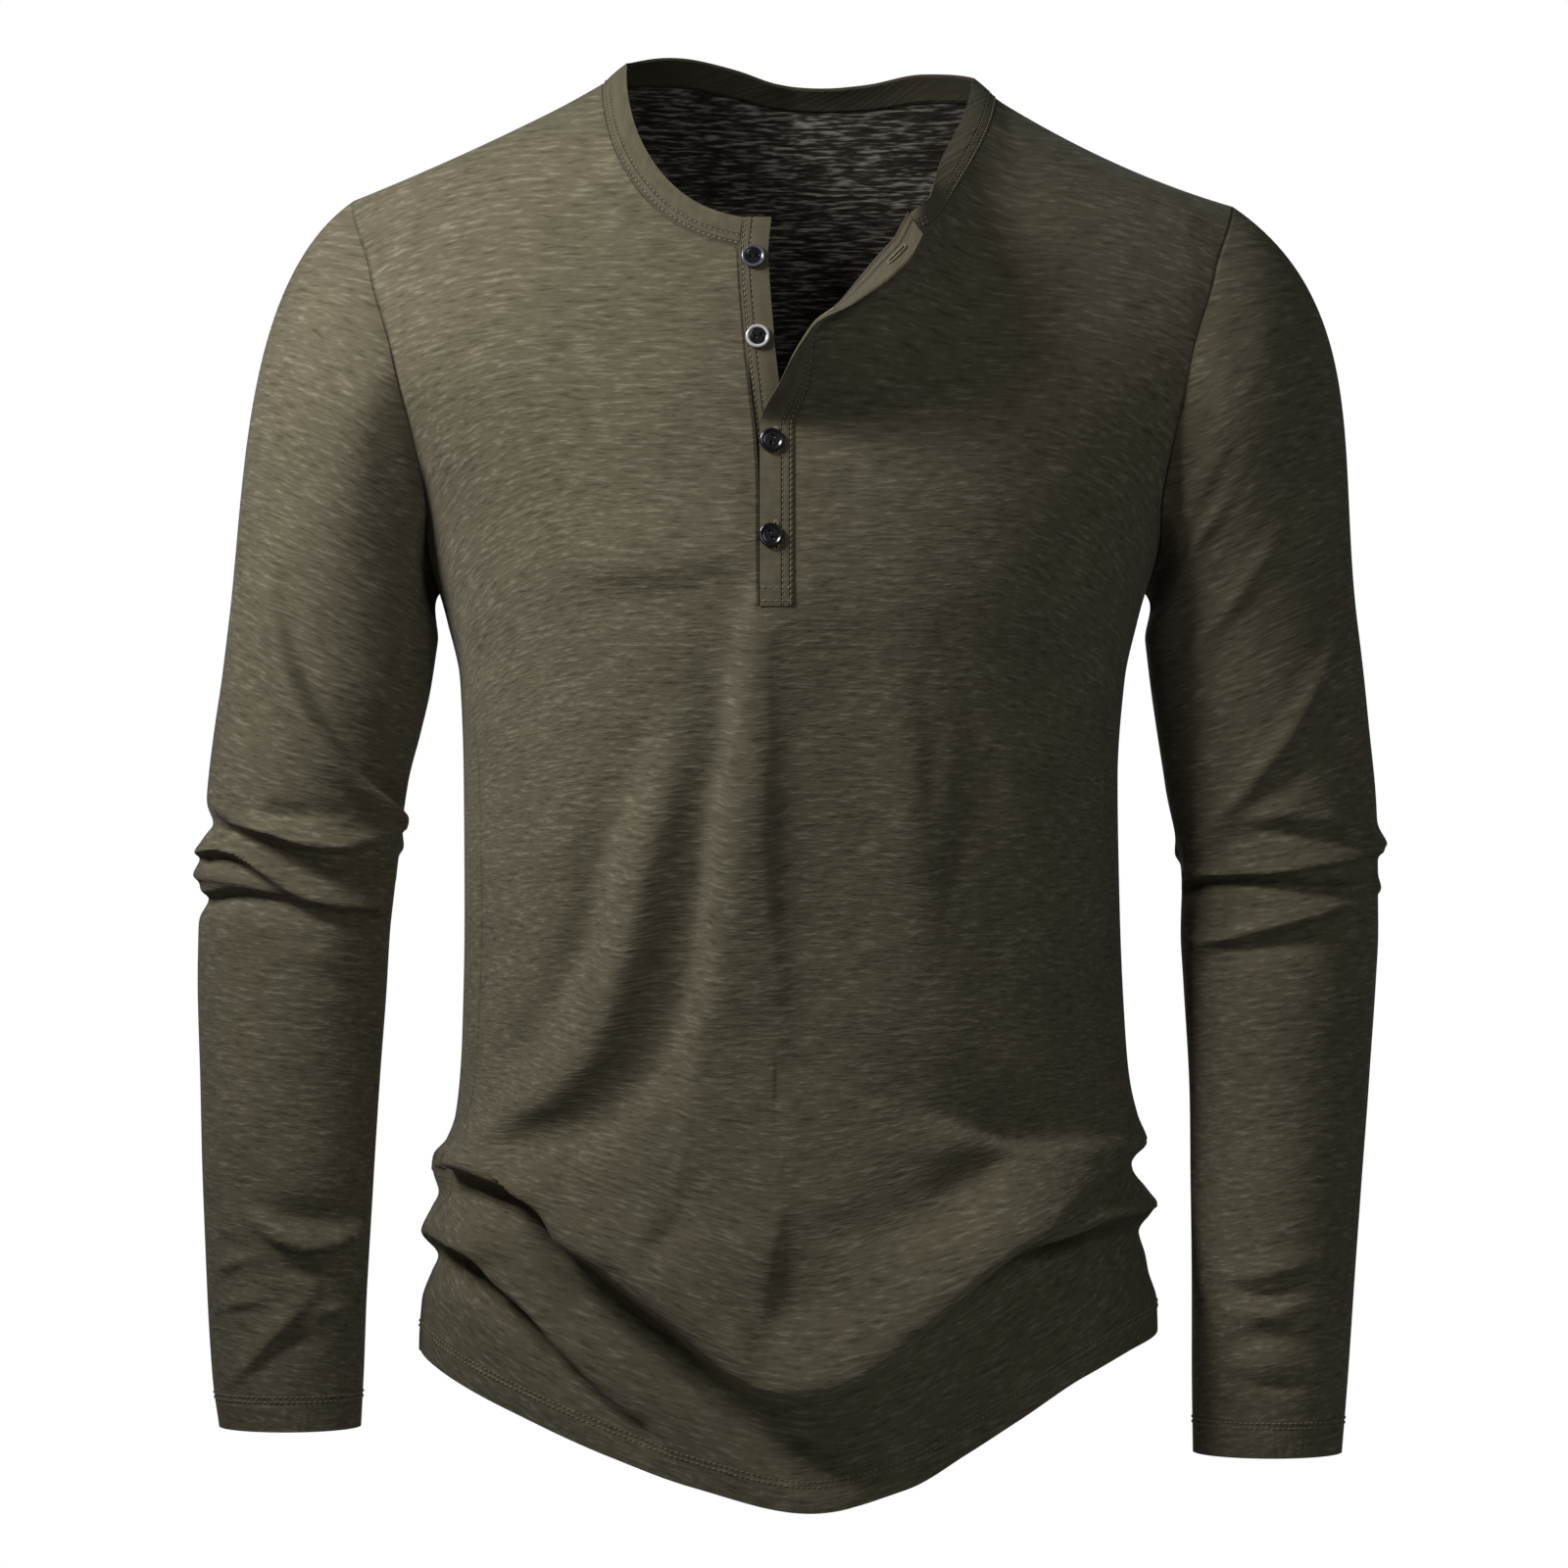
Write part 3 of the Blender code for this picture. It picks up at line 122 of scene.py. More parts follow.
# Half widths and depths of the body, and the angles from the centre front, in degrees, at which
# the front and the back panel end on each side.
Level = namedtuple("Level", "z right left front back front_right front_left back_right back_left")
LEVELS = (
    Level(-0.7400, 0.1860, 0.1860, 0.108, 0.104, 84, 88, 84, 88),
    Level(-0.6400, 0.1900, 0.1865, 0.112, 0.106, 84, 88, 84, 88),
    Level(-0.6150, 0.1885, 0.1860, 0.114, 0.105, 82, 88, 82, 88),
    Level(-0.6000, 0.1835, 0.1820, 0.116, 0.104, 80, 88, 80, 88),
    Level(-0.5920, 0.1805, 0.1812, 0.117, 0.103, 79, 88, 79, 88),
    Level(-0.5805, 0.1875, 0.1795, 0.117, 0.103, 78, 88, 78, 88),
    Level(-0.5680, 0.1830, 0.1865, 0.116, 0.102, 77, 88, 77, 88),
    Level(-0.5600, 0.1800, 0.1815, 0.115, 0.101, 76, 88, 76, 88),
    Level(-0.5480, 0.1835, 0.1748, 0.113, 0.100, 74, 88, 74, 88),
    Level(-0.5400, 0.1810, 0.1730, 0.112, 0.099, 73, 88, 73, 88),
    Level(-0.5330, 0.1750, 0.1775, 0.111, 0.098, 72, 88, 72, 88),
    Level(-0.5200, 0.1710, 0.1740, 0.109, 0.096, 71, 88, 71, 88),
    Level(-0.4800, 0.1680, 0.1700, 0.105, 0.092, 70, 88, 70, 88),
    Level(-0.4200, 0.1668, 0.1672, 0.106, 0.088, 69, 88, 69, 88),
    Level(-0.3500, 0.1672, 0.1660, 0.111, 0.090, 70, 89, 70, 89),
    Level(-0.3000, 0.1690, 0.1695, 0.116, 0.096, 76, 90, 76, 90),
    Level(-0.2700, 0.1755, 0.1760, 0.119, 0.100, 84, 90, 84, 90),
    Level(-0.2555, 0.1795, 0.1800, 0.120, 0.102, 90, 90, 90, 90),
    Level(-0.2125, 0.1950, 0.1965, 0.120, 0.105, 70.5, 70.5, 112, 112),
    Level(-0.1770, 0.2170, 0.2185, 0.119, 0.108, 61.0, 61.0, 122, 122),
    Level(-0.1360, 0.2480, 0.2490, 0.118, 0.110, 53.5, 53.5, 127, 127),
    Level(-0.0955, 0.2550, 0.2560, 0.118, 0.110, 55.8, 56.0, 125, 125),
    Level(-0.0500, 0.2550, 0.2560, 0.118, 0.110, 61.2, 61.5, 118.8, 118.5),
    Level(0.0600, 0.2550, 0.2560, 0.118, 0.110, 61.2, 61.5, 118.8, 118.5),
)

# Back neck seam: its rise over the line of the neck points, across the neck from its middle.
BackNeck = namedtuple("BackNeck", "share rise")
BACK_NECK = (
    BackNeck(-1.00, 0.0000),
    BackNeck(-0.65, 0.0034),
    BackNeck(-0.38, 0.0012),
    BackNeck(-0.12, -0.0030),
    BackNeck(0.10, -0.0036),
    BackNeck(0.36, -0.0024),
    BackNeck(0.66, 0.0012),
    BackNeck(1.00, 0.0000),
)

# Front and back hem, by the angle round the body.
Hem = namedtuple("Hem", "angle z")
HEM = (
    Hem(-90, -0.6385),
    Hem(-75, -0.6460),
    Hem(-52, -0.6632),
    Hem(-31, -0.6842),
    Hem(-16, -0.6990),
    Hem(3, -0.7115),
    Hem(18, -0.7005),
    Hem(29, -0.6830),
    Hem(38, -0.6685),
    Hem(53, -0.6475),
    Hem(70, -0.6350),
    Hem(90, -0.6295),
)

# Edge of the slit on the button side, by height.
SlitEdge = namedtuple("SlitEdge", "z x")
BUTTON_EDGE = (
    SlitEdge(-0.2800, -0.0165),
    SlitEdge(-0.2100, -0.0165),
    SlitEdge(-0.1840, -0.0178),
    SlitEdge(-0.1630, -0.0200),
    SlitEdge(-0.1325, -0.0233),
    SlitEdge(-0.0840, -0.0263),
    SlitEdge(-0.0600, -0.0263),
)

# Buttonhole strip, by the height of its seam when buttoned: how far the seam is carried by
# the open corner, and the direction in which the strip leaves its seam.
Flap = namedtuple("Flap", "z move_x move_y move_z way_x way_y way_z")
FLAP = (
    Flap(-0.2646, 0.0000, 0.0000, 0.0000, -1.00, 0.00, 0.00),
    Flap(-0.1765, 0.0000, 0.0000, 0.0000, -1.00, 0.00, 0.00),
    Flap(-0.1599, 0.0075, -0.0135, 0.0030, -0.80, -0.60, 0.15),
    Flap(-0.1390, 0.0108, -0.0260, 0.0073, -0.10, -1.00, 0.05),
    Flap(-0.1196, 0.0258, -0.0330, 0.0036, 0.28, -0.93, -0.18),
    Flap(-0.1004, 0.0409, -0.0360, 0.0027, 0.55, -0.68, -0.48),
    Flap(-0.0840, 0.0534, -0.0360, 0.0011, 0.52, -0.58, -0.62),
    Flap(-0.0685, 0.0600, -0.0340, 0.0000, 0.40, -0.50, -0.76),
)

# Direction in which the neckband leaves the neck seam, from the button end round the back to
# the buttonhole end, by its share of the way round.
BandWay = namedtuple("BandWay", "share x y z")
BAND_WAYS = (
    BandWay(0.00, 0.10, 0.30, 0.95),
    BandWay(0.12, 0.60, 0.30, 0.70),
    BandWay(0.27, 0.80, 0.02, 0.62),
    BandWay(0.36, 0.36, -0.24, 0.93),
    BandWay(0.51, 0.00, -0.72, 0.66),
    BandWay(0.64, -0.36, -0.40, 0.88),
    BandWay(0.73, -0.80, 0.00, 0.60),
    BandWay(0.80, -0.80, 0.05, 0.60),
    BandWay(0.86, -0.72, 0.15, 0.68),
    BandWay(0.90, -0.50, 0.32, 0.78),
    BandWay(0.94, -0.22, 0.48, 0.84),
    BandWay(1.00, 0.42, 0.38, 0.82),
)

MM = 1000  # in a metre

# Folds of the body: a path of (angle in degrees, millimetres below the origin) points, then in
# millimetres the fold's half widths to the left and to the right of one who walks along it and
# its height (out of the cloth, or into it if negative), and the share of that at its two ends.
Fold = namedtuple("Fold", "path left right height start end")
BODY_FOLDS = (
    # The pleat under the placket: its two edges, and the hollow to its right.
    Fold(((-5, 268), (-7, 295), (-8, 314), (-9, 333), (-11, 372), (-12, 410), (-13, 449),
          (-15, 468), (-17, 507), (-18, 526)), 26, 7.5, 6.2, 0.5, 0.5),
    Fold(((-5, 278), (-5, 333), (-5, 391), (-4, 420), (-3, 449), (-3, 483)), 8, 26, 4.3, 0.4, 0.3),
    Fold(((-8, 266), (-11, 295), (-12, 314), (-14, 352), (-16, 391), (-18, 430), (-21, 469),
          (-24, 488), (-29, 507), (-36, 522), (-49, 530)), 12, 18, -6.6, 0.3, 0.9),
    # Drags from the pleat to the right waist, and under the chest.
    Fold(((-17, 300), (-18, 324), (-21, 352), (-25, 391), (-28, 430), (-33, 471), (-37, 488),
          (-45, 506), (-58, 523), (-68, 535)), 14, 18, 10.2, 0.1, 0.7),
    Fold(((-26, 333), (-31, 362), (-36, 391), (-38, 420), (-42, 445), (-49, 470), (-58, 492)), 12,
          14, -6, 0.2, 0.3),
    Fold(((-42, 246), (-32, 243), (-22, 245), (-10, 236)), 20, 12, 2.7, 0.2, 0.6),
    Fold(((-42, 262), (-32, 258), (-22, 260), (-11, 252)), 10, 16, -2.7, 0.2, 0.5),
    # A soft edge left of the middle with faint drags beyond it, and a thin one at the left side.
    Fold(((19, 276), (20, 314), (22, 352), (22, 391), (23, 430), (25, 469)), 24, 22, 4, 0.2, 0.5),
    Fold(((22, 304), (24, 333), (24, 367), (25, 391)), 8, 6, -1.4, 0.3, 0.2),
    Fold(((32, 314), (32, 343), (30, 377), (28, 406), (26, 435)), 10, 8, -2.2, 0.2, 0.2),
    Fold(((37, 323), (36, 352), (36, 386)), 9, 7, -1.4, 0.2, 0.2),
    Fold(((53, 392), (58, 426), (61, 460), (65, 493), (77, 516)), 6, 3, 1.4, 0.2, 0.4),
    # A pocket over the left waist, and the swag that hangs across from waist to waist.
    Fold(((20, 512), (28, 517), (36, 523), (45, 527), (55, 527), (64, 527)), 22, 7, -12.5, 0.3,
          0.5),
    Fold(((8, 576), (16, 568), (24, 561), (32, 548), (40, 537), (51, 530)), 14, 10, -6, 0.3, 0.3),
    Fold(((-44, 560), (-37, 573), (-31, 587), (-24, 603), (-16, 620), (-9, 635), (-3, 643),
          (3, 642), (9, 635), (14, 623), (19, 609), (25, 595), (31, 583), (37, 572), (47, 561),
          (61, 547), (82, 535)), 22, 10, 20, 0.3, 0.2),
    Fold(((-10, 650), (-3, 664), (5, 671), (12, 666), (18, 650)), 16, 12, 8, 0.2, 0.2),
    Fold(((12, 668), (17, 647), (21, 625), (25, 606), (31, 591), (39, 578), (45, 566), (59, 553),
          (90, 543)), 5, 10, -6, 0.3, 0.2),
    # Under it on the left side, a small roll and the long hollow below that.
    Fold(((26, 611), (31, 597), (39, 585), (46, 575), (58, 567), (90, 565)), 8, 5, 8, 0.1, 0.1),
    Fold(((21, 661), (24, 640), (27, 618), (32, 603), (39, 590), (49, 580), (58, 572), (90, 570)),
          4, 22, -14, 0.3, 0.2),
    Fold(((30, 640), (35, 616), (44, 601), (57, 592)), 12, 16, -4, 0.3, 0.3),
    Fold(((14, 690), (20, 668), (27, 646), (35, 626), (46, 606), (60, 590)), 10, 34, -9, 0.2, 0.2),
    # The rolls of the right waist, with a long crease under each.
    Fold(((-76, 541), (-58, 545), (-50, 551), (-44, 562), (-40, 575)), 14, 6, 8.5, 0.1, 0.1),
    Fold(((-76, 547), (-61, 551), (-52, 559), (-45, 571), (-41, 587), (-35, 600), (-28, 613),
          (-22, 626), (-16, 641), (-10, 656), (-5, 671), (0, 684), (6, 689), (11, 688)), 8, 14, -15,
          0.4, 0.3),
    Fold(((-44, 580), (-37, 597), (-29, 613), (-22, 627), (-16, 642), (-10, 657), (-5, 671),
          (0, 682), (6, 687)), 20, 14, -12.5, 0.2, 0.3),
    Fold(((-90, 579), (-61, 581), (-54, 595), (-44, 612), (-38, 628), (-32, 644), (-25, 663)), 16,
          4.5, 8.5, 0.1, 0.2),
    Fold(((-80, 581), (-65, 588), (-54, 602), (-45, 617), (-39, 634), (-33, 650), (-28, 663),
          (-23, 671)), 5, 10, -10.5, 0.3, 0.3),
    # Short creases over the swag's middle.
    Fold(((-2, 552), (-3, 574), (-4, 598), (-5, 617)), 6, 18, 3.5, 0.2, 0.3),
    Fold(((1, 559), (0, 583), (-1, 607), (-3, 623)), 14, 8, -2.4, 0.2, 0.5),
    Fold(((-17, 557), (-19, 572), (-23, 584)), 9, 7, -3, 0.4, 0.4),
    # The back: swags from both sides, and soft drags down its length.
    Fold(((90, 532), (112, 536), (140, 545), (170, 566), (180, 572)), 18, 8, 7.5, 0.2, 0.5),
    Fold(((90, 543), (116, 549), (142, 558), (166, 582), (180, 592)), 5, 12, -6, 0.3, 0.4),
    Fold(((90, 565), (112, 568), (135, 580), (155, 605)), 14, 6, 7.5, 0.1, 0.2),
    Fold(((90, 574), (112, 577), (136, 590), (157, 616)), 4, 11, -5.5, 0.2, 0.2),
    Fold(((-180, 573), (-168, 566), (-140, 552), (-112, 545), (-90, 541)), 18, 8, 7.5, 0.5, 0.2),
    Fold(((-180, 592), (-165, 584), (-140, 564), (-112, 553), (-90, 549)), 5, 12, -6, 0.4, 0.3),
    Fold(((-150, 612), (-132, 594), (-112, 584), (-90, 580)), 14, 6, 7.5, 0.2, 0.1),
    Fold(((-152, 622), (-134, 604), (-112, 592), (-90, 588)), 4, 11, -5.5, 0.2, 0.2),
    Fold(((172, 300), (168, 400), (160, 500)), 16, 12, -4, 0.3, 0.4),
    Fold(((-170, 320), (-165, 400), (-155, 500)), 14, 16, 3.5, 0.3, 0.4),
    Fold(((118, 200), (132, 260), (150, 310)), 12, 8, -3, 0.3, 0.2),
    Fold(((-118, 200), (-132, 260), (-150, 310)), 8, 12, -3, 0.3, 0.2),
)

# Arm below the underarm: centre, half width and half depth of the sleeve, by height.
Ring = namedtuple("Ring", "z x y wide deep")
RIGHT_ARM = (  # the wearer's right, at -X, with x measured outwards
    Ring(-0.6765, 0.2534, -0.0300, 0.0358, 0.0330),
    Ring(-0.6525, 0.2546, -0.0280, 0.0381, 0.0345),
    Ring(-0.6025, 0.2555, -0.0230, 0.0407, 0.0370),
    Ring(-0.5525, 0.2555, -0.0170, 0.0433, 0.0400),
    Ring(-0.5025, 0.2551, -0.0100, 0.0456, 0.0430),
    Ring(-0.4525, 0.2545, -0.0030, 0.0482, 0.0465),
    Ring(-0.4275, 0.2538, 0.0000, 0.0488, 0.0480),
    Ring(-0.4025, 0.2520, 0.0015, 0.0498, 0.0490),
    Ring(-0.3525, 0.2470, 0.0020, 0.0510, 0.0510),
    Ring(-0.3250, 0.2420, 0.0020, 0.0525, 0.0520),
    Ring(-0.3025, 0.2378, 0.0020, 0.0530, 0.0540),
    Ring(-0.2750, 0.2340, 0.0020, 0.0532, 0.0555),
)
LEFT_ARM = (
    Ring(-0.6895, 0.2401, -0.0300, 0.0376, 0.0340),
    Ring(-0.6525, 0.2416, -0.0270, 0.0394, 0.0355),
    Ring(-0.6025, 0.2437, -0.0220, 0.0412, 0.0375),
    Ring(-0.5525, 0.2457, -0.0160, 0.0434, 0.0400),
    Ring(-0.5025, 0.2477, -0.0100, 0.0457, 0.0430),
    Ring(-0.4525, 0.2485, -0.0030, 0.0490, 0.0465),
    Ring(-0.4275, 0.2487, 0.0000, 0.0503, 0.0480),
    Ring(-0.4025, 0.2490, 0.0015, 0.0500, 0.0490),
    Ring(-0.3525, 0.2440, 0.0020, 0.0535, 0.0515),
    Ring(-0.3250, 0.2405, 0.0020, 0.0540, 0.0525),
    Ring(-0.3025, 0.2378, 0.0020, 0.0542, 0.0540),
    Ring(-0.2750, 0.2345, 0.0020, 0.0540, 0.0555),
)
ARMS = {-1: RIGHT_ARM, 1: LEFT_ARM}

# Folds of a sleeve: the angle runs from 0 outside, through 90 at the front, to 180 inside.
RIGHT_SLEEVE_FOLDS = (
    # Upper arm: one long line from the outside to the inner elbow, and fainter ones.
    Fold(((55, 255), (62, 274), (70, 293), (82, 313), (96, 329), (113, 345), (135, 358),
          (168, 368)), 3, 7, 5.4, 0.4, 0.8),
    Fold(((62, 252), (69, 270), (77, 288), (89, 308), (103, 324), (120, 340), (141, 352),
          (165, 361)), 8, 3.4, -4.8, 0.4, 0.8),
    Fold(((90, 268), (103, 283), (119, 294), (133, 300)), 6, 3, -1.8, 0.3, 0.3),
    Fold(((100, 140), (130, 190), (150, 245)), 12, 8, 3.5, 0.3, 0.5),
    # Elbow: a ridge over a broad hollow, a thin ridge that slants down it, and a low one.
    Fold(((59, 370.5), (78, 369), (95, 369), (114, 368.5)), 7, 3, -3.5, 0.4, 0.4),
    Fold(((24, 360), (44, 371), (75, 375.5), (96, 381), (116, 383), (139, 380), (165, 375)), 5.5, 3,
          5.8, 0.3, 0.5),
    Fold(((-70, 374.5), (-30, 372.5), (20, 374), (46, 378), (68, 385), (91, 393), (115, 399),
          (139, 401), (159, 400)), 7.5, 4.5, -6.6, 0.0, 0.6),
    Fold(((-80, 391), (-30, 388), (20, 385), (43, 383.5), (61, 388), (76, 396), (98, 408),
          (120, 413), (151, 415)), 4, 3, 5, 0.0, 0.6),
    Fold(((25, 391.5), (48, 391), (66, 398), (84, 407)), 3, 3, -3.4, 0.6, 0.2),
    Fold(((-60, 400), (-20, 397), (25, 398), (56, 401), (80, 406)), 5, 4, 4, 0.0, 0.1),
    Fold(((-75, 412), (-30, 411), (27, 411), (56, 409), (82, 411), (99, 415), (123, 418),
          (151, 419)), 3, 6.5, -6.2, 0.0, 0.6),
    Fold(((92, 434), (110, 437), (130, 446)), 3, 6, 2.2, 0.2, 0.3),
    Fold(((104, 454), (120, 459), (138, 468)), 3, 6, 1.8, 0.2, 0.3),
    # Wrist.
    Fold(((68, 562), (101, 571), (139, 572)), 9, 3.5, -4.2, 0.2, 0.7),
    Fold(((50, 568), (73, 572.5), (89, 579.5), (107, 583), (127, 582), (155, 578)), 5, 3.5, 4.8,
          0.3, 0.7),
    Fold(((85, 587), (109, 590), (136, 588), (156, 585)), 3, 5, -3.2, 0.3, 0.4),
    Fold(((78, 597), (99, 596), (133, 598)), 6, 3.5, -3.6, 0.3, 0.3),
    Fold(((114, 606), (99, 618), (83, 630), (63, 643), (45, 652)), 3.5, 7, 4.4, 0.3, 0.3),
    Fold(((35, 574), (56, 578), (73, 584)), 4, 3, 2.4, 0.4, 0.2),
    Fold(((36, 596), (60, 591), (75, 589)), 4, 3, 2.6, 0.4, 0.2),
    Fold(((38, 615), (63, 611), (82, 610)), 4, 3, 2.6, 0.4, 0.2),
    Fold(((112, 618), (129, 616), (156, 616)), 4, 3, 2.6, 0.3, 0.5),
    Fold(((81, 634), (99, 631), (121, 630)), 5, 4, -2.6, 0.3, 0.4),
    # Behind the arm.
    Fold(((200, 370), (270, 378), (330, 372)), 5, 7, -4.5, 0.5, 0.5),
    Fold(((190, 384), (260, 392), (340, 386)), 7, 4, 4.5, 0.5, 0.5),
    Fold(((195, 404), (250, 412), (300, 406)), 4, 7, -3, 0.4, 0.3),
)
LEFT_SLEEVE_FOLDS = (
    # Upper arm: short ridges from the armpit, and a long one to the inner elbow.
    Fold(((91, 168), (106, 190), (123, 210), (139, 226)), 5, 4, 2.6, 0.2, 0.4),
    Fold(((98, 200), (109, 215), (121, 228), (135, 244)), 4, 3.5, 2.6, 0.2, 0.4),
    Fold(((75, 225), (82, 236), (94, 250), (106, 264), (120, 279), (136, 291)), 4, 4.5, 3.6, 0.2,
          0.4),
    Fold(((20, 258), (34, 273), (55, 293), (71, 314), (85, 332), (102, 349), (122, 366),
          (151, 383)), 4.5, 5.5, 4.4, 0.2, 0.4),
    Fold(((48, 298), (64, 318), (78, 337), (96, 355), (116, 372)), 4, 12, -2.4, 0.2, 0.4),
    Fold(((77, 361), (95, 369), (112, 371)), 4, 4, 2.2, 0.2, 0.2),
    # Elbow: an oval hollow and three ridges, with a deep forked crease between the last two.
    Fold(((-70, 384), (-30, 382), (15, 380), (47, 375), (67, 369.5), (89, 367.5)), 5, 3, 4.2, 0.0,
          0.2),
    Fold(((122, 381), (101, 377), (79, 378), (50, 383)), 5, 5, -4.6, 0.4, 0.4),
    Fold(((-60, 388), (0, 386), (25, 385), (55, 389), (81, 393), (103, 396), (131, 397),
          (165, 398)), 4, 2.8, 4.8, 0.0, 0.6),
    Fold(((26, 402), (43, 404), (69, 405), (92, 403), (121, 402), (165, 405)), 3, 4, -5.8, 0.3,
          0.9),
    Fold(((49, 406), (61, 403), (72, 398)), 3, 3, -3, 0.3, 0.5),
    Fold(((15, 405), (33, 408), (55, 413), (81, 419), (103, 424), (124, 429), (150, 432)), 5.5, 3,
          4.6, 0.5, 0.5),
    Fold(((39, 417), (69, 423), (92, 429), (121, 435), (147, 440)), 3, 8, -5, 0.2, 0.7),
    # Wrist.
    Fold(((139, 596), (115, 599), (87, 595), (58, 591)), 3, 7, 3.2, 0.4, 0.2),
    Fold(((134, 606), (100, 609), (61, 604)), 6, 3, -3.4, 0.4, 0.2),
    Fold(((126, 617), (100, 618), (65, 613)), 3, 6, 3, 0.4, 0.2),
    Fold(((139, 637), (114, 630), (85, 628), (54, 636)), 5, 4, -3, 0.3, 0.3),
    Fold(((132, 642), (100, 641), (66, 643)), 6, 6, 2.6, 0.3, 0.3),
    Fold(((124, 650), (91, 654), (52, 651)), 4, 3, -2.8, 0.3, 0.2),
    # Behind the arm.
    Fold(((200, 370), (270, 380), (330, 374)), 5, 7, -4.5, 0.5, 0.5),
    Fold(((190, 388), (260, 396), (340, 390)), 7, 4, 4.5, 0.5, 0.5),
    Fold(((195, 408), (250, 414), (300, 410)), 4, 7, -3, 0.4, 0.3),
)
SLEEVE_FOLDS = {-1: RIGHT_SLEEVE_FOLDS, 1: LEFT_SLEEVE_FOLDS}

# Half section of a button, as shares of its radius and thickness.
Profile = namedtuple("Profile", "radius height")
BUTTON_PROFILE = (
    Profile(0.00, 0.00),
    Profile(0.78, 0.00),
    Profile(0.94, 0.10),
    Profile(1.00, 0.35),
    Profile(1.00, 0.68),
    Profile(0.96, 0.92),
    Profile(0.89, 1.00),
    Profile(0.81, 0.97),
    Profile(0.73, 0.86),
    Profile(0.66, 0.76),
    Profile(0.58, 0.72),
    Profile(0.00, 0.72),
)

# Buttons, from the top: height, place across the slit, the turn of their two holes in degrees,
# the strip on whose face they lie, and the colour of their rim, a painted reflection on the top
# two.
Button = namedtuple("Button", "z x turn strip rim")
BUTTONS = (
    Button(-0.0923, -0.0190, 8, "placket_under", "smoky"),
    Button(-0.1325, -0.0170, 20, "placket_under", "pale"),
    Button(-0.1838, -0.0100, 70, "placket_over", "dark"),
    Button(-0.2309, -0.0104, 115, "placket_over", "dark"),
)

HOLE_SPACING = 0.0017  # from a button's middle to the middle of each hole
HOLE_RADIUS = 0.00105
HOLE_EDGE = 0.0003  # width of the slope from its rim to its floor
HOLE_DEPTH = 0.55  # share of the button's thickness
SEAT_GAP = 0.0002  # between a button and the cloth

# Buttonholes: half their length and width, the radius of their edge of thread, how far it stands
# off the outer face and off the inner one, and where they lie across the strip, as a share.
SLIT_LENGTH = 0.0068
SLIT_WIDTH = 0.0010
SLIT_THREAD = 0.0005
SLIT_LIFT = 0.0006
SLIT_BACK_LIFT = 0.0001
SLIT_PLACE = 0.52
# The slit's dark fan is a painted shadow: the strip is not cut through.
SLIT_SINK = 0.0001  # how far the dark of the slit lies under the middle of its edge

# ---------------------------------------------------------------- finish of the cloth
TRIM_ROWS = (0.0017, 0.0056)  # distances of the stitch rows from a strip's seam
HEM_ROWS = (0.0125, 0.0150)  # and from the turned edges
CUFF_ROWS = (0.0150, 0.0175)
FOOT_ROWS = (0.012, 0.040)  # rows across the placket's foot, as shares of its length
FOOT_REACH = (0.05, 0.95)  # and of its width
SEAM_GROOVE = 0.0016
HEM_TURN = (0.0120, 0.0134)  # where the step at the end of a turned hem begins and ends
STITCH_SHARE = 0.80  # length of a stitch as a share of the pitch
STITCH_RISE = 0.35  # how far its middle line stands up, as a share of its diameter
ROLLED_EDGE = 0.0012  # reach of the round at a strip's folded edge
CROWN = 0.0004  # how far a strip's middle rises
SHARP_ANGLE = 50  # degrees

# Each cloth piece as cut: its flat size, its area where that isn't their product, and the pieces
# that it rests on.
Sheet = namedtuple("Sheet", "flat area rests_on")

# ---------------------------------------------------------------- stage
FLOOR_HALF = 1.25
FLOOR_Z = -1.0
FLOOR_POINTS = 26
CAMERA_PLACE = (-0.004, -3.0, -0.3525)
CAMERA_LENS = 135.0
CAMERA_SENSOR = 36.0
LIT_POINT = (-0.06, 0, -0.26)  # what the lights face

# Softboxes: place, size, power as a share of the key's, colour, and spread in degrees.
Light = namedtuple("Light", "name place size power colour spread")
LIGHTS = (
    Light("key", (-0.79, -0.51, 0.39), 0.38, 1.0, (1.0, 0.985, 0.955), 68),
    Light("fill", (0.70, -1.78, 0.36), 0.60, 0.62, (1.0, 0.99, 0.97), 90),
    Light("back_light", (-0.2, 2.8, 0.1), 1.4, 2.2, (0.97, 0.98, 1.0), 90),
)

# ---------------------------------------------------------------- fineness of the grids
STEPS = 6  # cells of the fine grid for each cell of the CAD's grid
YOKE_SHARES = (0, 0.06, 0.14, 0.235, 0.33, 0.42, 0.512, 0.66, 0.79, 0.90, 1.0)
YOKE_ROWS = np.interp(
    np.arange(10 * STEPS + 1) / STEPS, np.arange(len(YOKE_SHARES)), YOKE_SHARES,
)
LOWER_ROWS = np.concatenate([
    np.linspace(0, 0.57, 68)[1:], np.linspace(0.57, 0.93, 115)[1:], np.linspace(0.93, 1, 14)[1:],
])
SHOULDER_CELLS = 6 * STEPS
NECK_CELLS = 8 * STEPS
BACK_NECK_CELLS = 10 * STEPS
SLOT_CELLS = 2 * STEPS
CAP_ROWS = np.linspace(0, 1, 49)[1:]
ARM_HEIGHTS = np.concatenate([
    np.linspace(BICEPS_Z, ELBOW_TOP_Z, 35)[1:],
    np.linspace(ELBOW_TOP_Z, ELBOW_FOOT_Z, 71)[1:],
    np.linspace(ELBOW_FOOT_Z, WRIST_Z, 43)[1:],
])
CUFF_CELLS = 50
STRIP_CELLS = 16
CURVE_STEPS = 5  # straight pieces of a fold's path between two of its points
SLIT_POINTS = 40
THREAD_SIDES = 8
STITCH_SIDES = 6
STITCH_RINGS = 5
BUTTON_SIDES = 64
BUTTON_RINGS = 70

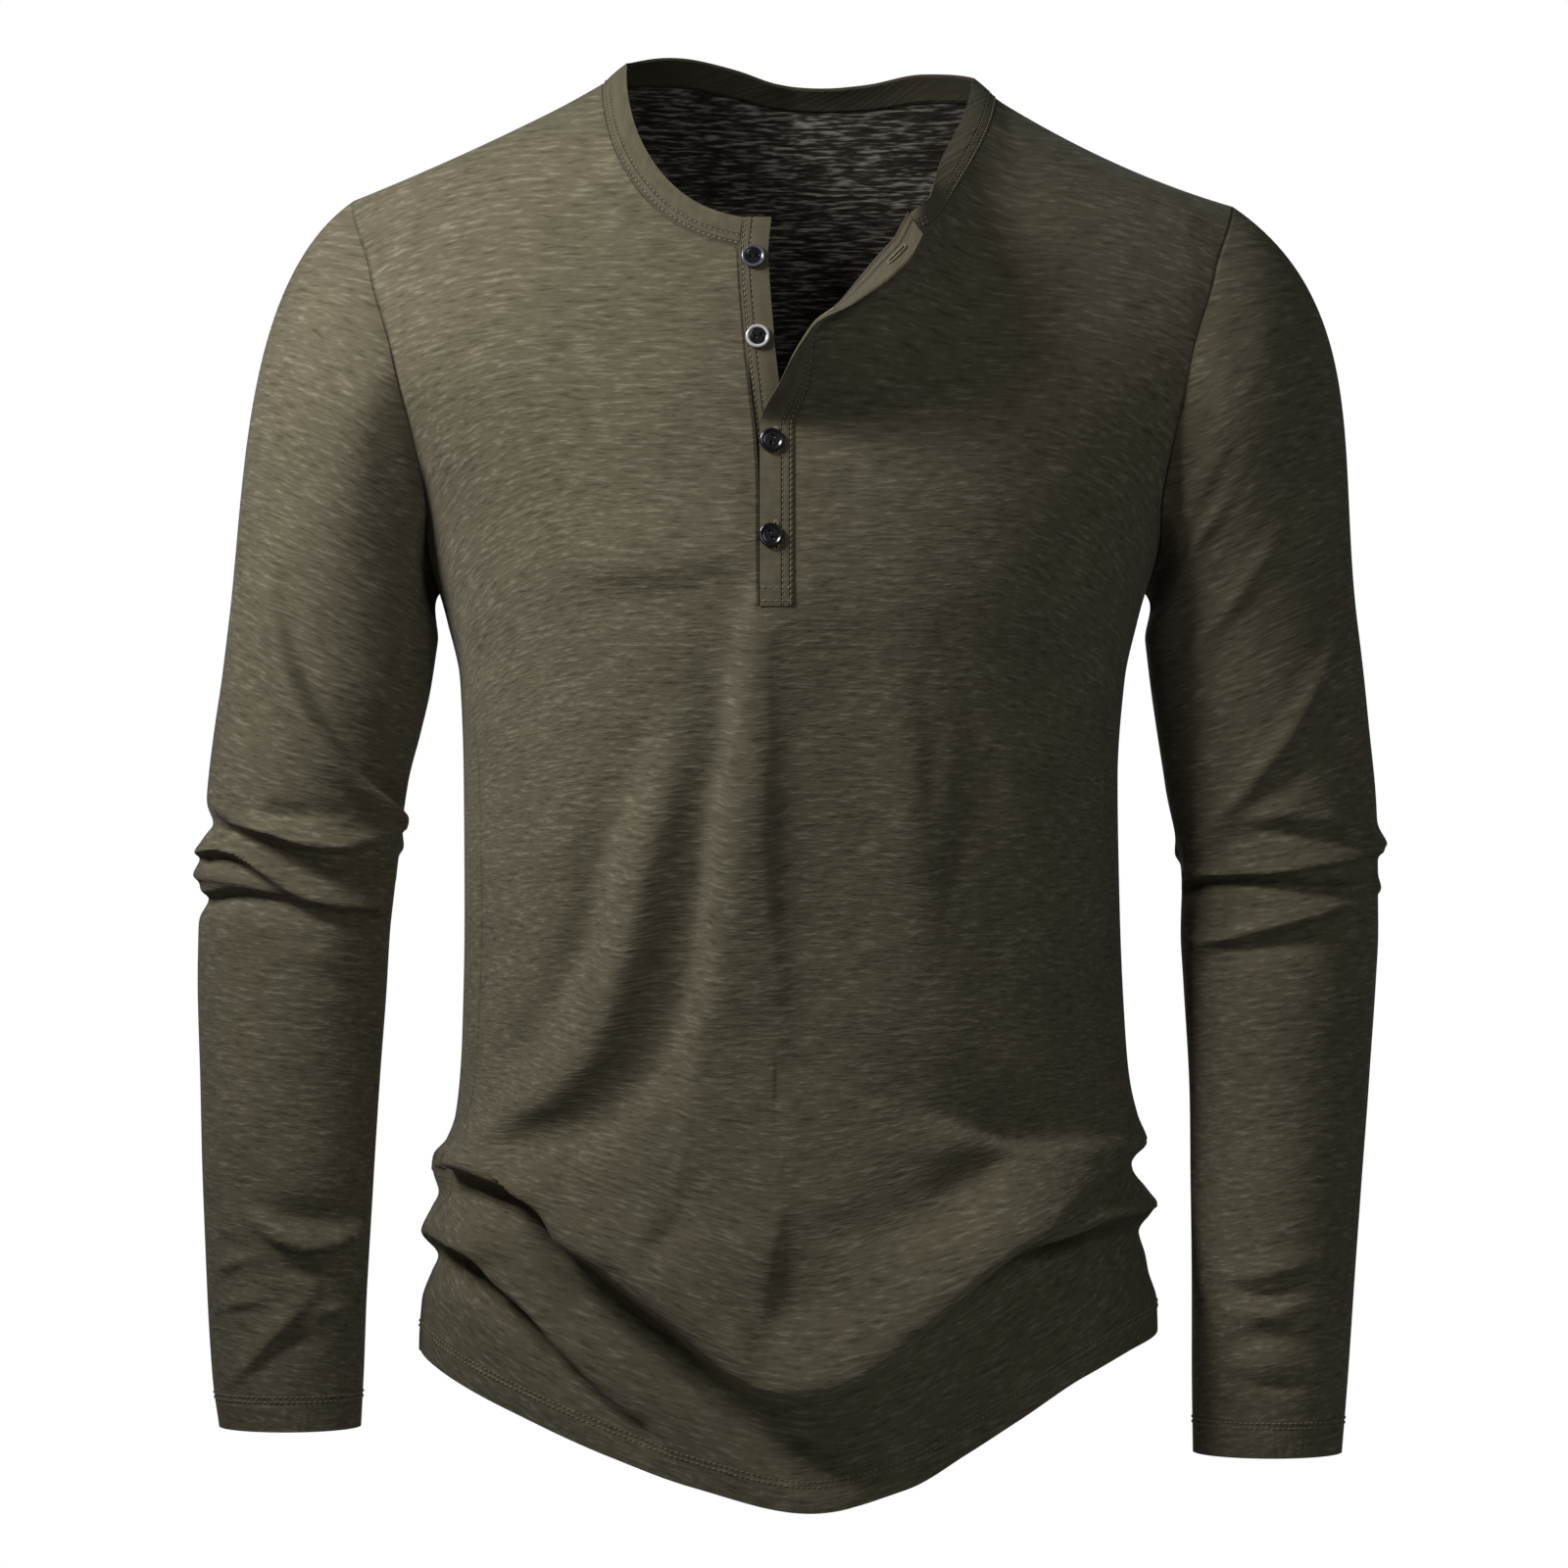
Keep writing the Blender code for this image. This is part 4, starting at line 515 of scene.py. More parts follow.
FIRST_SLOT = SHOULDER_CELLS + NECK_CELLS
LAST_SLOT = FIRST_SLOT + SLOT_CELLS
FOOT_ROW = len(YOKE_ROWS) - 1
FAR = 1.0  # metres, for a point that no seam comes near


# ---------------------------------------------------------------- settings of the add-on
class HenleyCloth(bpy.types.PropertyGroup):
    """Thickness and colours of the jersey and the trim."""

    thickness: bpy.props.FloatProperty(
        name="Cloth thickness", description="Wall of the jersey panels",
        default=0.0010, min=0.0004, max=0.0015, unit="LENGTH", precision=4,
    )
    trim_thickness: bpy.props.FloatProperty(
        name="Trim thickness", description="Wall of the doubled neckband and placket strips",
        default=0.0015, min=0.0006, max=0.0020, unit="LENGTH", precision=4,
    )
    jersey: bpy.props.FloatVectorProperty(
        name="Jersey", description="Ground colour of the slub jersey",
        default=(0.158, 0.140, 0.092), min=0, max=1, subtype="COLOR",
    )
    slub: bpy.props.FloatVectorProperty(
        name="Slub", description="Colour of the pale dashes in the jersey",
        default=(0.262, 0.240, 0.178), min=0, max=1, subtype="COLOR",
    )
    shade: bpy.props.FloatVectorProperty(
        name="Dark dashes", description="Colour of the dark dashes in the jersey",
        default=(0.098, 0.086, 0.054), min=0, max=1, subtype="COLOR",
    )
    # The wrong side's dark ground and strong contrast: partly its own look, partly painted shade of
    # the shirt's inside.
    reverse: bpy.props.FloatVectorProperty(
        name="Reverse", description="Dark ground of the jersey's wrong side",
        default=(0.042, 0.036, 0.026), min=0, max=1, subtype="COLOR",
    )
    reverse_slub: bpy.props.FloatVectorProperty(
        name="Reverse slub", description="Pale dashes of the jersey's wrong side",
        default=(0.400, 0.384, 0.344), min=0, max=1, subtype="COLOR",
    )
    trim: bpy.props.FloatVectorProperty(
        name="Trim", description="Colour of the plain neckband and placket",
        default=(0.146, 0.130, 0.086), min=0, max=1, subtype="COLOR",
    )
    # The neckband's inner face: darker partly as a tape and partly as painted shade of the inside
    # of the neck.
    lining: bpy.props.FloatVectorProperty(
        name="Neck lining", description="Colour of the neckband's inner face",
        default=(0.060, 0.052, 0.034), min=0, max=1, subtype="COLOR",
    )


class HenleyThread(bpy.types.PropertyGroup):
    """Size and colour of the stitches."""

    pitch: bpy.props.FloatProperty(
        name="Stitch pitch", description="Distance from one stitch to the next in a row",
        default=0.0028, min=0.0015, max=0.0060, unit="LENGTH", precision=4,
    )
    diameter: bpy.props.FloatProperty(
        name="Thread diameter", description="Diameter of the sewing thread",
        default=0.00075, min=0.0002, max=0.0010, unit="LENGTH", precision=5,
    )
    colour: bpy.props.FloatVectorProperty(
        name="Thread", description="Colour of the sewing thread",
        default=(0.300, 0.272, 0.190), min=0, max=1, subtype="COLOR",
    )


class HenleyButtons(bpy.types.PropertyGroup):
    """Size and colours of the buttons."""

    radius: bpy.props.FloatProperty(
        name="Button radius", description="Outer radius of a button",
        default=0.0060, min=0.0050, max=0.0062, unit="LENGTH", precision=4,
    )
    thickness: bpy.props.FloatProperty(
        name="Button thickness", description="Height of a button's rim over its back",
        default=0.0026, min=0.0018, max=0.0030, unit="LENGTH", precision=4,
    )
    dark: bpy.props.FloatVectorProperty(
        name="Resin", description="Colour of the buttons",
        default=(0.012, 0.011, 0.014), min=0, max=1, subtype="COLOR",
    )
    # Rim colours of the top two buttons: painted reflections of the light on their glossy rims.
    smoky: bpy.props.FloatVectorProperty(
        name="Smoky rim", description="Rim colour of the top button",
        default=(0.135, 0.130, 0.170), min=0, max=1, subtype="COLOR",
    )
    pale: bpy.props.FloatVectorProperty(
        name="Pale rim", description="Rim colour of the second button",
        default=(0.720, 0.720, 0.740), min=0, max=1, subtype="COLOR",
    )


class HenleyStage(bpy.types.PropertyGroup):
    """Camera, lights and floor."""

    key: bpy.props.FloatProperty(
        name="Key light", description="Power of the soft key light, in watts",
        default=1.68, min=0, subtype="POWER",
    )
    ambient: bpy.props.FloatProperty(
        name="Ambient", description="Strength of the light from all round",
        default=0.034, min=0,
    )
    floor: bpy.props.FloatVectorProperty(
        name="Floor", description="Colour of the floor",
        default=(0.80, 0.80, 0.79), min=0, max=1, subtype="COLOR",
    )


# ---------------------------------------------------------------- small tools
def unit(vectors):
    return vectors / np.maximum(np.linalg.norm(vectors, axis=-1, keepdims=True), 1e-12)


def smooth(share):
    """0 below 0, 1 above 1, and an even S between."""
    share = np.clip(share, 0, 1)
    return share * share * (3 - 2 * share)


def cubic(t, start, leave, end, arrive):
    """Cubic from a start to an end, with its slope at each, at shares of the way."""
    return (
        (1 + 2 * t) * (1 - t) ** 2 * start
        + t * (1 - t) ** 2 * leave
        + t * t * (3 - 2 * t) * end
        + t * t * (t - 1) * arrive
    )


def read(table, column, at):
    """One column of a table at any place of its first column, as a smooth curve.

    Between two rows it is a cubic. Its slope at a row is the harmonic mean of the slopes to
    the rows on either side, and level where those differ in sign, so it never overshoots.
    """
    key = np.array([row[0] for row in table], float)
    value = np.array([getattr(row, column) for row in table], float)
    rise = np.diff(value) / np.diff(key)
    both = rise[1:] * rise[:-1]
    inner = np.where(both > 0, 2 * both / np.where(both > 0, rise[1:] + rise[:-1], 1), 0)
    slope = np.concatenate([rise[:1], inner, rise[-1:]])
    at = np.clip(at, key[0], key[-1])
    i = np.clip(np.searchsorted(key, at, side="right") - 1, 0, len(key) - 2)
    step = key[i + 1] - key[i]
    t = (at - key[i]) / step
    return cubic(t, value[i], step * slope[i], value[i + 1], step * slope[i + 1])


def read_vectors(table, columns, at):
    """Several columns of a table, as the last axis."""
    return np.stack([read(table, column, at) for column in columns], axis=-1)


def run_length(points):
    """Distance of each point of a path from its start."""
    return np.concatenate([[0], np.cumsum(np.linalg.norm(np.diff(points, axis=0), axis=1))])


def curve(points):
    """A smooth path through points: cubics whose slope at a point is that of its neighbours."""
    slope = np.gradient(points, axis=0)
    t = (np.arange(CURVE_STEPS) / CURVE_STEPS)[None, :, None]
    path = cubic(t, points[:-1, None], slope[:-1, None], points[1:, None], slope[1:, None])
    return np.concatenate([path.reshape(-1, points.shape[1]), points[-1:]])


def fold_height(folds, angle, z, radius):
    """Sum of the folds at points given by an angle and a height, on a tube of this radius.

    A fold's height falls off from its path as a bell curve of the distance, with its own half
    width on each side.
    """
    across = angle * radius
    total = np.zeros_like(across)
    for fold in folds:
        left, right, high = fold.left / MM, fold.right / MM, fold.height / MM
        path = np.array(fold.path, float)
        path[:, 0] = np.radians(path[:, 0]) * radius
        path[:, 1] /= -MM
        path = curve(path)
        length = np.linalg.norm(np.diff(path, axis=0), axis=1)
        done = np.concatenate([[0], np.cumsum(length)]) / length.sum()
        reach = 3 * max(left, right)
        low, top = path.min(axis=0) - reach, path.max(axis=0) + reach
        near = (across > low[0]) & (across < top[0]) & (z > low[1]) & (z < top[1])
        s, h = across[near], z[near]
        nearest = np.full(s.shape, np.inf)
        place, width = np.zeros(s.shape), np.ones(s.shape)
        for i, step in enumerate(length):
            way = (path[i + 1] - path[i]) / step
            on, up = s - path[i, 0], h - path[i, 1]
            along = np.clip(on * way[0] + up * way[1], 0, step)
            off = np.hypot(on - along * way[0], up - along * way[1])
            closer = off < nearest
            nearest = np.where(closer, off, nearest)
            place = np.where(closer, done[i] + (done[i + 1] - done[i]) * along / step, place)
            side = np.where(way[0] * up > way[1] * on, left, right)
            width = np.where(closer, side, width)
        ends = np.where(place < 0.5, fold.start, fold.end)
        strength = ends + (1 - ends) * smooth(1 - np.abs(2 * place - 1))
        total[near] += high * strength * np.exp(-((nearest / width) ** 2))
    return total


def normals(grid, closed=False):
    """Unit normals of a grid of points, from rows crossed with columns."""
    if closed:
        wide = np.concatenate([grid[:, -1:], grid, grid[:, :1]], axis=1)
        across = (wide[:, 2:] - wide[:, :-2]) / 2
    else:
        across = np.gradient(grid, axis=1)
    return unit(np.cross(np.gradient(grid, axis=0), across))


def run_from(grid, axis, index):
    """Distance of every point from one row (axis 0) or column (axis 1), along the grid."""
    steps = np.linalg.norm(np.diff(grid, axis=axis), axis=-1)
    start = np.zeros_like(np.take(steps, [0], axis))
    run = np.concatenate([start, np.cumsum(steps, axis=axis)], axis=axis)
    return np.abs(run - np.take(run, [index], axis))


def sample(grid, row, column):
    """Points of a grid at fractional rows and columns, on straight lines between its points."""
    r = np.clip(np.floor(row).astype(int), 0, grid.shape[0] - 2)
    c = np.clip(np.floor(column).astype(int), 0, grid.shape[1] - 2)
    u, v = (row - r)[..., None], (column - c)[..., None]
    return (
        grid[r, c] * (1 - u) * (1 - v) + grid[r, c + 1] * (1 - u) * v
        + grid[r + 1, c] * u * (1 - v) + grid[r + 1, c + 1] * u * v
    )


# ---------------------------------------------------------------- body
def neck_middle():
    """Middle and half width of the neck."""
    right, left = SIDES[-1], SIDES[1]
    return (left.neck_x - right.neck_x) / 2, (left.neck_x + right.neck_x) / 2


def shoulder_line(x):
    """Height of the shoulder seam. Over the neck it rises on, and passes from side to side."""
    lines = []
    for side in (SIDES[-1], SIDES[1]):
        share = (np.abs(x) - side.neck_x) / (side.tip_x - side.neck_x)
        line = side.neck_z + share * (side.tip_z - side.neck_z)
        lines.append(line - 4 * side.sag * np.clip(share, 0, 1) * (1 - np.clip(share, 0, 1)))
    middle, half = neck_middle()
    left_share = (np.clip((x - middle) / half, -1, 1) + 1) / 2
    return lines[0] + left_share * (lines[1] - lines[0])


def body_point(angle, z):
    """Point of the outer cloth at an angle from the centre front (radians, + to +X) and a height.

    The section is a flattened ellipse. Near the shoulder seam its depth closes along a
    quarter of an ellipse, so the cloth rounds over the shoulder.
    """
    wide = np.where(angle < 0, read(LEVELS, "right", z), read(LEVELS, "left", z))
    x = wide * np.sin(angle)
    ahead = np.cos(angle)
    deep = np.where(ahead > 0, read(LEVELS, "front", z), read(LEVELS, "back", z))
    rounding = np.interp(np.abs(x), (0, ROUNDING_REACH), (ROUNDING_MIDDLE, ROUNDING_TIP))
    down = np.clip((shoulder_line(x) - z) / rounding, 0, 1)
    over = np.sqrt(1 - (1 - down) ** 2)
    y = -np.sign(ahead) * deep * np.abs(ahead) ** SECTION_POWER * over
    return np.stack([x, y, z], axis=-1)


def fold_body(points, angle, z):
    """Body points moved out by the folds, which also hang a little."""
    height = fold_height(BODY_FOLDS, angle, z, BODY_RADIUS)
    out = unit(np.stack([np.sin(angle), -np.cos(angle), np.zeros_like(angle)], axis=-1))
    points = points + height[..., None] * out
    points[..., 2] -= DROOP * np.maximum(height, 0)
    return points


def neck_heights(x, back):
    """Height of the neck seam, measured from the line between the two neck points."""
    right, left = SIDES[-1], SIDES[1]
    middle, half = neck_middle()
    share = np.clip((x - middle) / half, -1, 1)
    line = (left.neck_z + right.neck_z) / 2 + share * (left.neck_z - right.neck_z) / 2
    if back:
        return line + read(BACK_NECK, "rise", share)
    return line - NECK_DROP * np.sqrt(1 - np.abs(share) ** NECK_POWER)


def panel(top_x, low_share, edges):
    """Angles and heights of a body panel's points, from its top edge to its hem.

    top_x places its columns along the top edge and low_share along every row below the
    chest; edges names the level columns that hold the angles of its two side edges.
    """
    back = edges[0].startswith("back")
    top_z = shoulder_line(top_x)
    inside = (top_x > -SIDES[-1].neck_x) & (top_x < SIDES[1].neck_x)
    top_z = np.where(inside, neck_heights(top_x, back), top_z)
    hem_z = read(HEM, "z", 90 * low_share)
    foot_z = SLOT_FOOT_Z + (UNDERARM_Z - SLOT_FOOT_Z) * low_share ** 2
    yoke_z = top_z + YOKE_ROWS[:, None] * (foot_z - top_z)
    lower_z = foot_z + LOWER_ROWS[:, None] * (hem_z - foot_z)
    z = np.concatenate([yoke_z, lower_z])

    wide = np.where(top_x < 0, read(LEVELS, "right", top_z), read(LEVELS, "left", top_z))
    top_angle = np.arcsin(np.clip(top_x / wide, -1, 1))
    right, left = (np.radians(read(LEVELS, name, z)) for name in edges)
    blend = np.concatenate([1 - (1 - YOKE_ROWS) ** FAN_POWER, np.ones(len(LOWER_ROWS))])[:, None]
    if back:
        right, left = np.pi - right, np.pi - left
    limit = np.where(low_share < 0, right, left)
    top_share = top_angle / limit[0]
    share = top_share + (low_share - top_share) * blend
    angle = share * limit
    if back:
        angle = np.sign(np.where(angle == 0, 1, angle)) * np.pi - angle
    return angle, z


def front_columns():
    """Places of the front's columns: along the top edge in metres, and lower down as shares."""
    right, left = SIDES[-1], SIDES[1]
    middle, half = neck_middle()
    slot_x = (read(BUTTON_EDGE, "x", SLOT_FOOT_Z), 0.0)
    turns = [np.arcsin((x - middle) / half) for x in slot_x]
    top_x = np.concatenate([
        np.linspace(-right.tip_x, -right.neck_x, SHOULDER_CELLS + 1),
        (middle + half * np.sin(np.linspace(-np.pi / 2, turns[0], NECK_CELLS + 1)))[1:],
        np.linspace(slot_x[0], slot_x[1], SLOT_CELLS + 1)[1:],
        (middle + half * np.sin(np.linspace(turns[1], np.pi / 2, NECK_CELLS + 1)))[1:],
        np.linspace(left.neck_x, left.tip_x, SHOULDER_CELLS + 1)[1:],
    ])
    wide = read(LEVELS, "right", SLOT_FOOT_Z)
    slot_share = np.arcsin(slot_x[0] / wide) / (np.pi / 2)
    side_cells = SHOULDER_CELLS + NECK_CELLS
    low_share = np.concatenate([
        np.linspace(-1, slot_share, side_cells + 1),
        np.linspace(slot_share, 0, SLOT_CELLS + 1)[1:],
        np.linspace(0, 1, side_cells + 1)[1:],
    ])
    return top_x, low_share


def front_panel():
    """Points of the front, with the angle and height of each on the body."""
    top_x, low_share = front_columns()
    angle, z = panel(top_x, low_share, ("front_right", "front_left"))
    flat = body_point(angle, z)
    moved = fold_body(flat, angle, z)
    # The button side swings out to the wearer's right of the slit.
    fade = smooth(1 - (SLOT_FOOT_Z - z) / SLIT_FADE)
    edge = flat[:, FIRST_SLOT]
    shift = (read(BUTTON_EDGE, "x", z[:, FIRST_SLOT]) - edge[:, 0]) * fade[:, FIRST_SLOT]
    reach = smooth(1 - (edge[:, None, 0] - flat[..., 0]) / PULL_REACH)
    moved[:, :FIRST_SLOT + 1, 0] += (shift[:, None] * reach)[:, :FIRST_SLOT + 1]
    # The buttonhole side is carried out and forward by its open corner.
    edge = flat[:, LAST_SLOT]
    shift = read_vectors(FLAP, ("move_x", "move_y", "move_z"), z[:, LAST_SLOT])
    shift[:, 0] -= edge[:, 0] * fade[:, LAST_SLOT]
    shift *= (z[:, LAST_SLOT] > SLOT_FOOT_Z - 1e-9)[:, None]
    reach = smooth(1 - (flat[..., 0] - edge[:, None, 0]) / PULL_REACH)[..., None]
    moved[:, LAST_SLOT:] += (shift[:, None] * reach)[:, LAST_SLOT:]
    # Between the corner and the shoulder its neck edge rises, half a sine along the edge.
    neck = np.arange(LAST_SLOT, LAST_SLOT + NECK_CELLS + 1)
    rise = COLLAR_LIFT * np.sin(np.pi * ((neck - LAST_SLOT) / NECK_CELLS) ** COLLAR_POWER)
    rise = rise * smooth(1 - (z[0, neck] - z[:, neck]) / COLLAR_REACH)
    moved[:, neck, 2] += rise
    moved[:, neck, 0] -= COLLAR_SIDE * rise
    return moved, angle, z


def back_panel():
    """Points of the back, with the angle and height of each on the body."""
    right, left = SIDES[-1], SIDES[1]
    middle, half = neck_middle()
    turn = np.linspace(-np.pi / 2, np.pi / 2, BACK_NECK_CELLS + 1)
    top_x = np.concatenate([
        np.linspace(-right.tip_x, -right.neck_x, SHOULDER_CELLS + 1),
        (middle + half * np.sin(turn))[1:-1],
        np.linspace(left.neck_x, left.tip_x, SHOULDER_CELLS + 1),
    ])
    low_share = np.linspace(-1, 1, len(top_x))
    angle, z = panel(top_x, low_share, ("back_right", "back_left"))
    return fold_body(body_point(angle, z), angle, z), angle, z


def body_grain(angle, z):
    """Place in the cloth of the body's points, in metres along and across its courses.

    Courses run level over the chest, droop towards the sides near the armholes, and below the
    waist hang in a V from side to side, as the hem does.
    """
    along = np.where(np.abs(angle) > np.pi / 2, angle - np.sign(angle) * np.pi, angle) * BODY_RADIUS
    far = np.abs(along)
    droop = 0.9 * np.maximum(far - DROOP_BEYOND, 0) ** 1.5
    droop = droop * smooth((z - DROOP_FROM_Z) / DROOP_RISE)
    swag = SWAG_SLOPE * (np.hypot(far, SWAG_ROUND) - SWAG_ROUND)
    swag = swag * smooth((SWAG_FROM_Z - z) / SWAG_FALL)
    return along, z + droop - swag


# ---------------------------------------------------------------- sleeves
def arm_ring(side, turn, z):
    """Points round the sleeve: turn 0 is outside, a quarter is the front, a half is inside."""
    arm = ARMS[side]
    wide, deep = read(arm, "wide", z), read(arm, "deep", z)
    x = read(arm, "x", z) + wide * np.cos(turn)
    y = read(arm, "y", z) - deep * np.sin(turn)
    tilt = BICEPS_TILT * smooth((z - ELBOW_TOP_Z) / (BICEPS_Z - ELBOW_TOP_Z))
    return np.stack([side * x, y, z + tilt * wide * np.cos(turn)], axis=-1)


def sleeve_panel(side, loop):
    """Points of a sleeve from the armhole loop to the cuff, and the turn of its columns.

    The head is a cubic from the armhole to the ring at the biceps, with a direction at each.
    """
    count = len(loop)
    half = count // 2
    even = 2 * np.pi * np.arange(count) / count
    run = run_length(np.concatenate([loop, loop[:1]]))
    front = np.pi * run[:half] / run[half]
    back = np.pi + np.pi * (run[half:count] - run[half]) / (run[count] - run[half])
    turn = even + TURN_BY_LENGTH * (np.concatenate([front, back]) - even)
    ring = arm_ring(side, turn, np.full(count, BICEPS_Z))
    chord = np.linalg.norm(ring - loop, axis=1, keepdims=True) * CAP_PULL[side]
    leave = unit(np.stack([
        side * (LEAVE_OUT + LEAVE_OUT_SWING * np.cos(turn)),
        -LEAVE_FORWARD * np.sin(turn),
        -(LEAVE_DOWN - LEAVE_DOWN_SWING * np.cos(turn)),
    ], axis=-1)) * chord
    ahead = arm_ring(side, turn, np.full(count, BICEPS_Z - HEAD_AHEAD))
    arrive = unit(ahead - ring) * chord
    cap = cubic(CAP_ROWS[:, None, None], loop, leave, ring, arrive)
    cuff_z = ARMS[side][0].z
    heights = np.concatenate([ARM_HEIGHTS, np.linspace(WRIST_Z, cuff_z, CUFF_CELLS + 1)[1:]])
    tube = arm_ring(side, turn[None, :], heights[:, None] + np.zeros(count))
    grid = np.concatenate([loop[None], cap, tube])

    z = grid[..., 2]
    turns = np.where(turn > LAST_TURN, turn - 2 * np.pi, turn)[None] + np.zeros_like(z)
    height = fold_height(SLEEVE_FOLDS[side], turns, z, ARM_RADIUS)
    height *= smooth(np.arange(len(grid)) / STEPS)[:, None]
    out = np.stack([side * np.cos(turn), -np.sin(turn), np.zeros(count)], axis=-1)
    grid = grid + height[..., None] * out
    grid[..., 2] -= DROOP * np.maximum(height, 0)
    return grid, turn


def sleeve_grain(grid, turn):
    """Place in the cloth of a sleeve's points, which hang lower inside than outside."""
    above = smooth((grid[..., 2] - SLEEVE_STEEPER_Z) / SLEEVE_STEEPER_REACH)
    slope = SLEEVE_SLOPE + SLEEVE_STEEPER * above
    outwards = np.cos(turn) * ARM_RADIUS
    angle = np.where(turn > np.pi, turn - 2 * np.pi, turn)[None] + np.zeros(grid.shape[:2])
    return angle * ARM_RADIUS, grid[..., 2] - slope * outwards


# ---------------------------------------------------------------- strips
def strip(edge, way, width, start=0.0):
    """A ruled strip: rows follow the seam edge, columns leave it along a direction."""
    offsets = np.linspace(start, width, STRIP_CELLS + 1)
    return edge[:, None] + offsets[None, :, None] * unit(way)[:, None]


def share(*edges):
    """Gives edges of several pieces, each (normals, rows, columns), their mean direction."""
    mean = unit(sum(normal[rows, columns] for normal, rows, columns in edges))
    for normal, rows, columns in edges:
        normal[rows, columns] = mean


# A cloth piece: outer points, outward normals, place in the cloth along and across its courses,
# and the distances to the nearest seam and to the turned edge.
Cloth = namedtuple("Cloth", "grid normal along across seam hem")


@lru_cache(maxsize=None)
def cut_cloth():
    """All cloth pieces by node name, joined to each other along shared seam lines."""
    (front, front_angle, front_z), (back, back_angle, back_z) = front_panel(), back_panel()
    front_normal, back_normal = normals(front), -normals(back)
    last_row, last_column = len(front) - 1, front.shape[1] - 1
    back_column = back.shape[1] - 1
    yoke = np.arange(FOOT_ROW + 1)
    below = np.arange(FOOT_ROW, last_row + 1)
    right_shoulder = np.arange(SHOULDER_CELLS + 1)
    front_shoulder = last_column - right_shoulder[::-1]
    back_shoulder = back_column - right_shoulder[::-1]
    ends = ((0, 0), (last_column, back_column))

    back[below, 0], back[below, back_column] = front[below, 0], front[below, last_column]
    for f, b in ends:
        share((front_normal, below, f), (back_normal, below, b))
    for f, b in ((right_shoulder, right_shoulder), (front_shoulder, back_shoulder)):
        back[0, b] = front[0, f]
        share((front_normal, 0, f), (back_normal, 0, b))

    cut = {}
    for side, (f, b) in zip((-1, 1), ends):
        loop = np.concatenate([front[yoke, f], back[yoke[1:-1], b][::-1]])
        grid, turn = sleeve_panel(side, loop)
        normal = -side * normals(grid, closed=True)
        share((normal, 0, yoke[1:-1]), (front_normal, yoke[1:-1], f))
        share((normal, 0, len(loop) - yoke[1:-1]), (back_normal, yoke[1:-1], b))
        share((normal, 0, 0), (front_normal, 0, f), (back_normal, 0, b))
        share((normal, 0, FOOT_ROW), (front_normal, FOOT_ROW, f), (back_normal, FOOT_ROW, b))
        along, across = sleeve_grain(grid, turn)
        underarm = np.abs(turn - np.pi)[None] * ARM_RADIUS
        seam = np.minimum(run_from(grid, 0, 0), underarm)
        name = "sleeve_right" if side < 0 else "sleeve_left"
        cut[name] = Cloth(grid, normal, along, across, seam, run_from(grid, 0, -1))

    # The neck seam, from the button side of the slit round the back to the buttonhole side.
    right_neck = np.arange(FIRST_SLOT, SHOULDER_CELLS - 1, -1)
    left_neck = np.arange(last_column - SHOULDER_CELLS, LAST_SLOT - 1, -1)
    back_neck = np.arange(SHOULDER_CELLS, SHOULDER_CELLS + BACK_NECK_CELLS + 1)
    seam = np.concatenate([front[0, right_neck], back[0, back_neck[1:-1]], front[0, left_neck]])
    run = run_length(seam)
    band = strip(seam, read_vectors(BAND_WAYS, "xyz", run / run[-1]), BAND_WIDTH)
    band_normal = -normals(band)
    first = len(right_neck) - 1
    second = first + BACK_NECK_CELLS
    share((band_normal, np.arange(first), 0), (front_normal, 0, right_neck[:-1]))
    share((band_normal, np.arange(first + 1, second), 0), (back_normal, 0, back_neck[1:-1]))
    share((band_normal, np.arange(second + 1, len(seam)), 0), (front_normal, 0, left_neck[1:]))

    # The two strips of the placket follow the slit's edges and go on up the band's ends.
    slit = yoke[::-1]
    over_edge = np.concatenate([front[slit, LAST_SLOT], band[-1, 1:]])
    under_edge = np.concatenate([front[slit, FIRST_SLOT], band[0, 1:]])
    closed_z = slit_rows()
    over_way = read_vectors(FLAP, ("way_x", "way_y", "way_z"), closed_z)
    over = strip(over_edge, over_way, OVER_WIDTH, -OVER_LAP)
    over_normal = normals(over)
    under = strip(under_edge, np.tile((1.0, 0.0, 0.0), (len(under_edge), 1)), UNDER_WIDTH)
    under_normal = -normals(under)
    depth = UNDER_DEPTH * smooth((UNDER_START_Z - closed_z) / UNDER_BLEND)
    under -= under_normal * depth[:, None, None]
    over += over_normal * OVER_LIFT

    slot_rows = np.arange(last_row + 1)[:, None] <= FOOT_ROW
    slot = np.minimum(run_from(front, 1, FIRST_SLOT), run_from(front, 1, LAST_SLOT))
    for name, grid, normal, angle, z in (
        ("front", front, front_normal, front_angle, front_z),
        ("back", back, back_normal, back_angle, back_z),
    ):
        edge = np.minimum(run_from(grid, 1, 0), run_from(grid, 1, -1))
        edge = np.minimum(edge, run_from(grid, 0, 0))
        if name == "front":
            edge = np.minimum(edge, np.where(slot_rows, slot, FAR))
        cut[name] = Cloth(grid, normal, *body_grain(angle, z), edge, run_from(grid, 0, -1))
    for name, grid, normal in (
        ("neckband", band, band_normal),
        ("placket_over", over, over_normal),
        ("placket_under", under, under_normal),
    ):
        along, across = run_from(grid, 0, 0), run_from(grid, 1, 0)
        cut[name] = Cloth(grid, normal, along, across, across, run_from(grid, 1, -1))
    return cut


def slit_rows():
    """Heights of the placket strips' rows, from the foot up, as if the shirt were buttoned."""
    top = float(neck_heights(front_columns()[0][LAST_SLOT], False))
    slit = top + YOKE_ROWS[::-1] * (SLOT_FOOT_Z - top)
    return np.concatenate([slit, top + np.linspace(0, BAND_WIDTH, STRIP_CELLS + 1)[1:]])


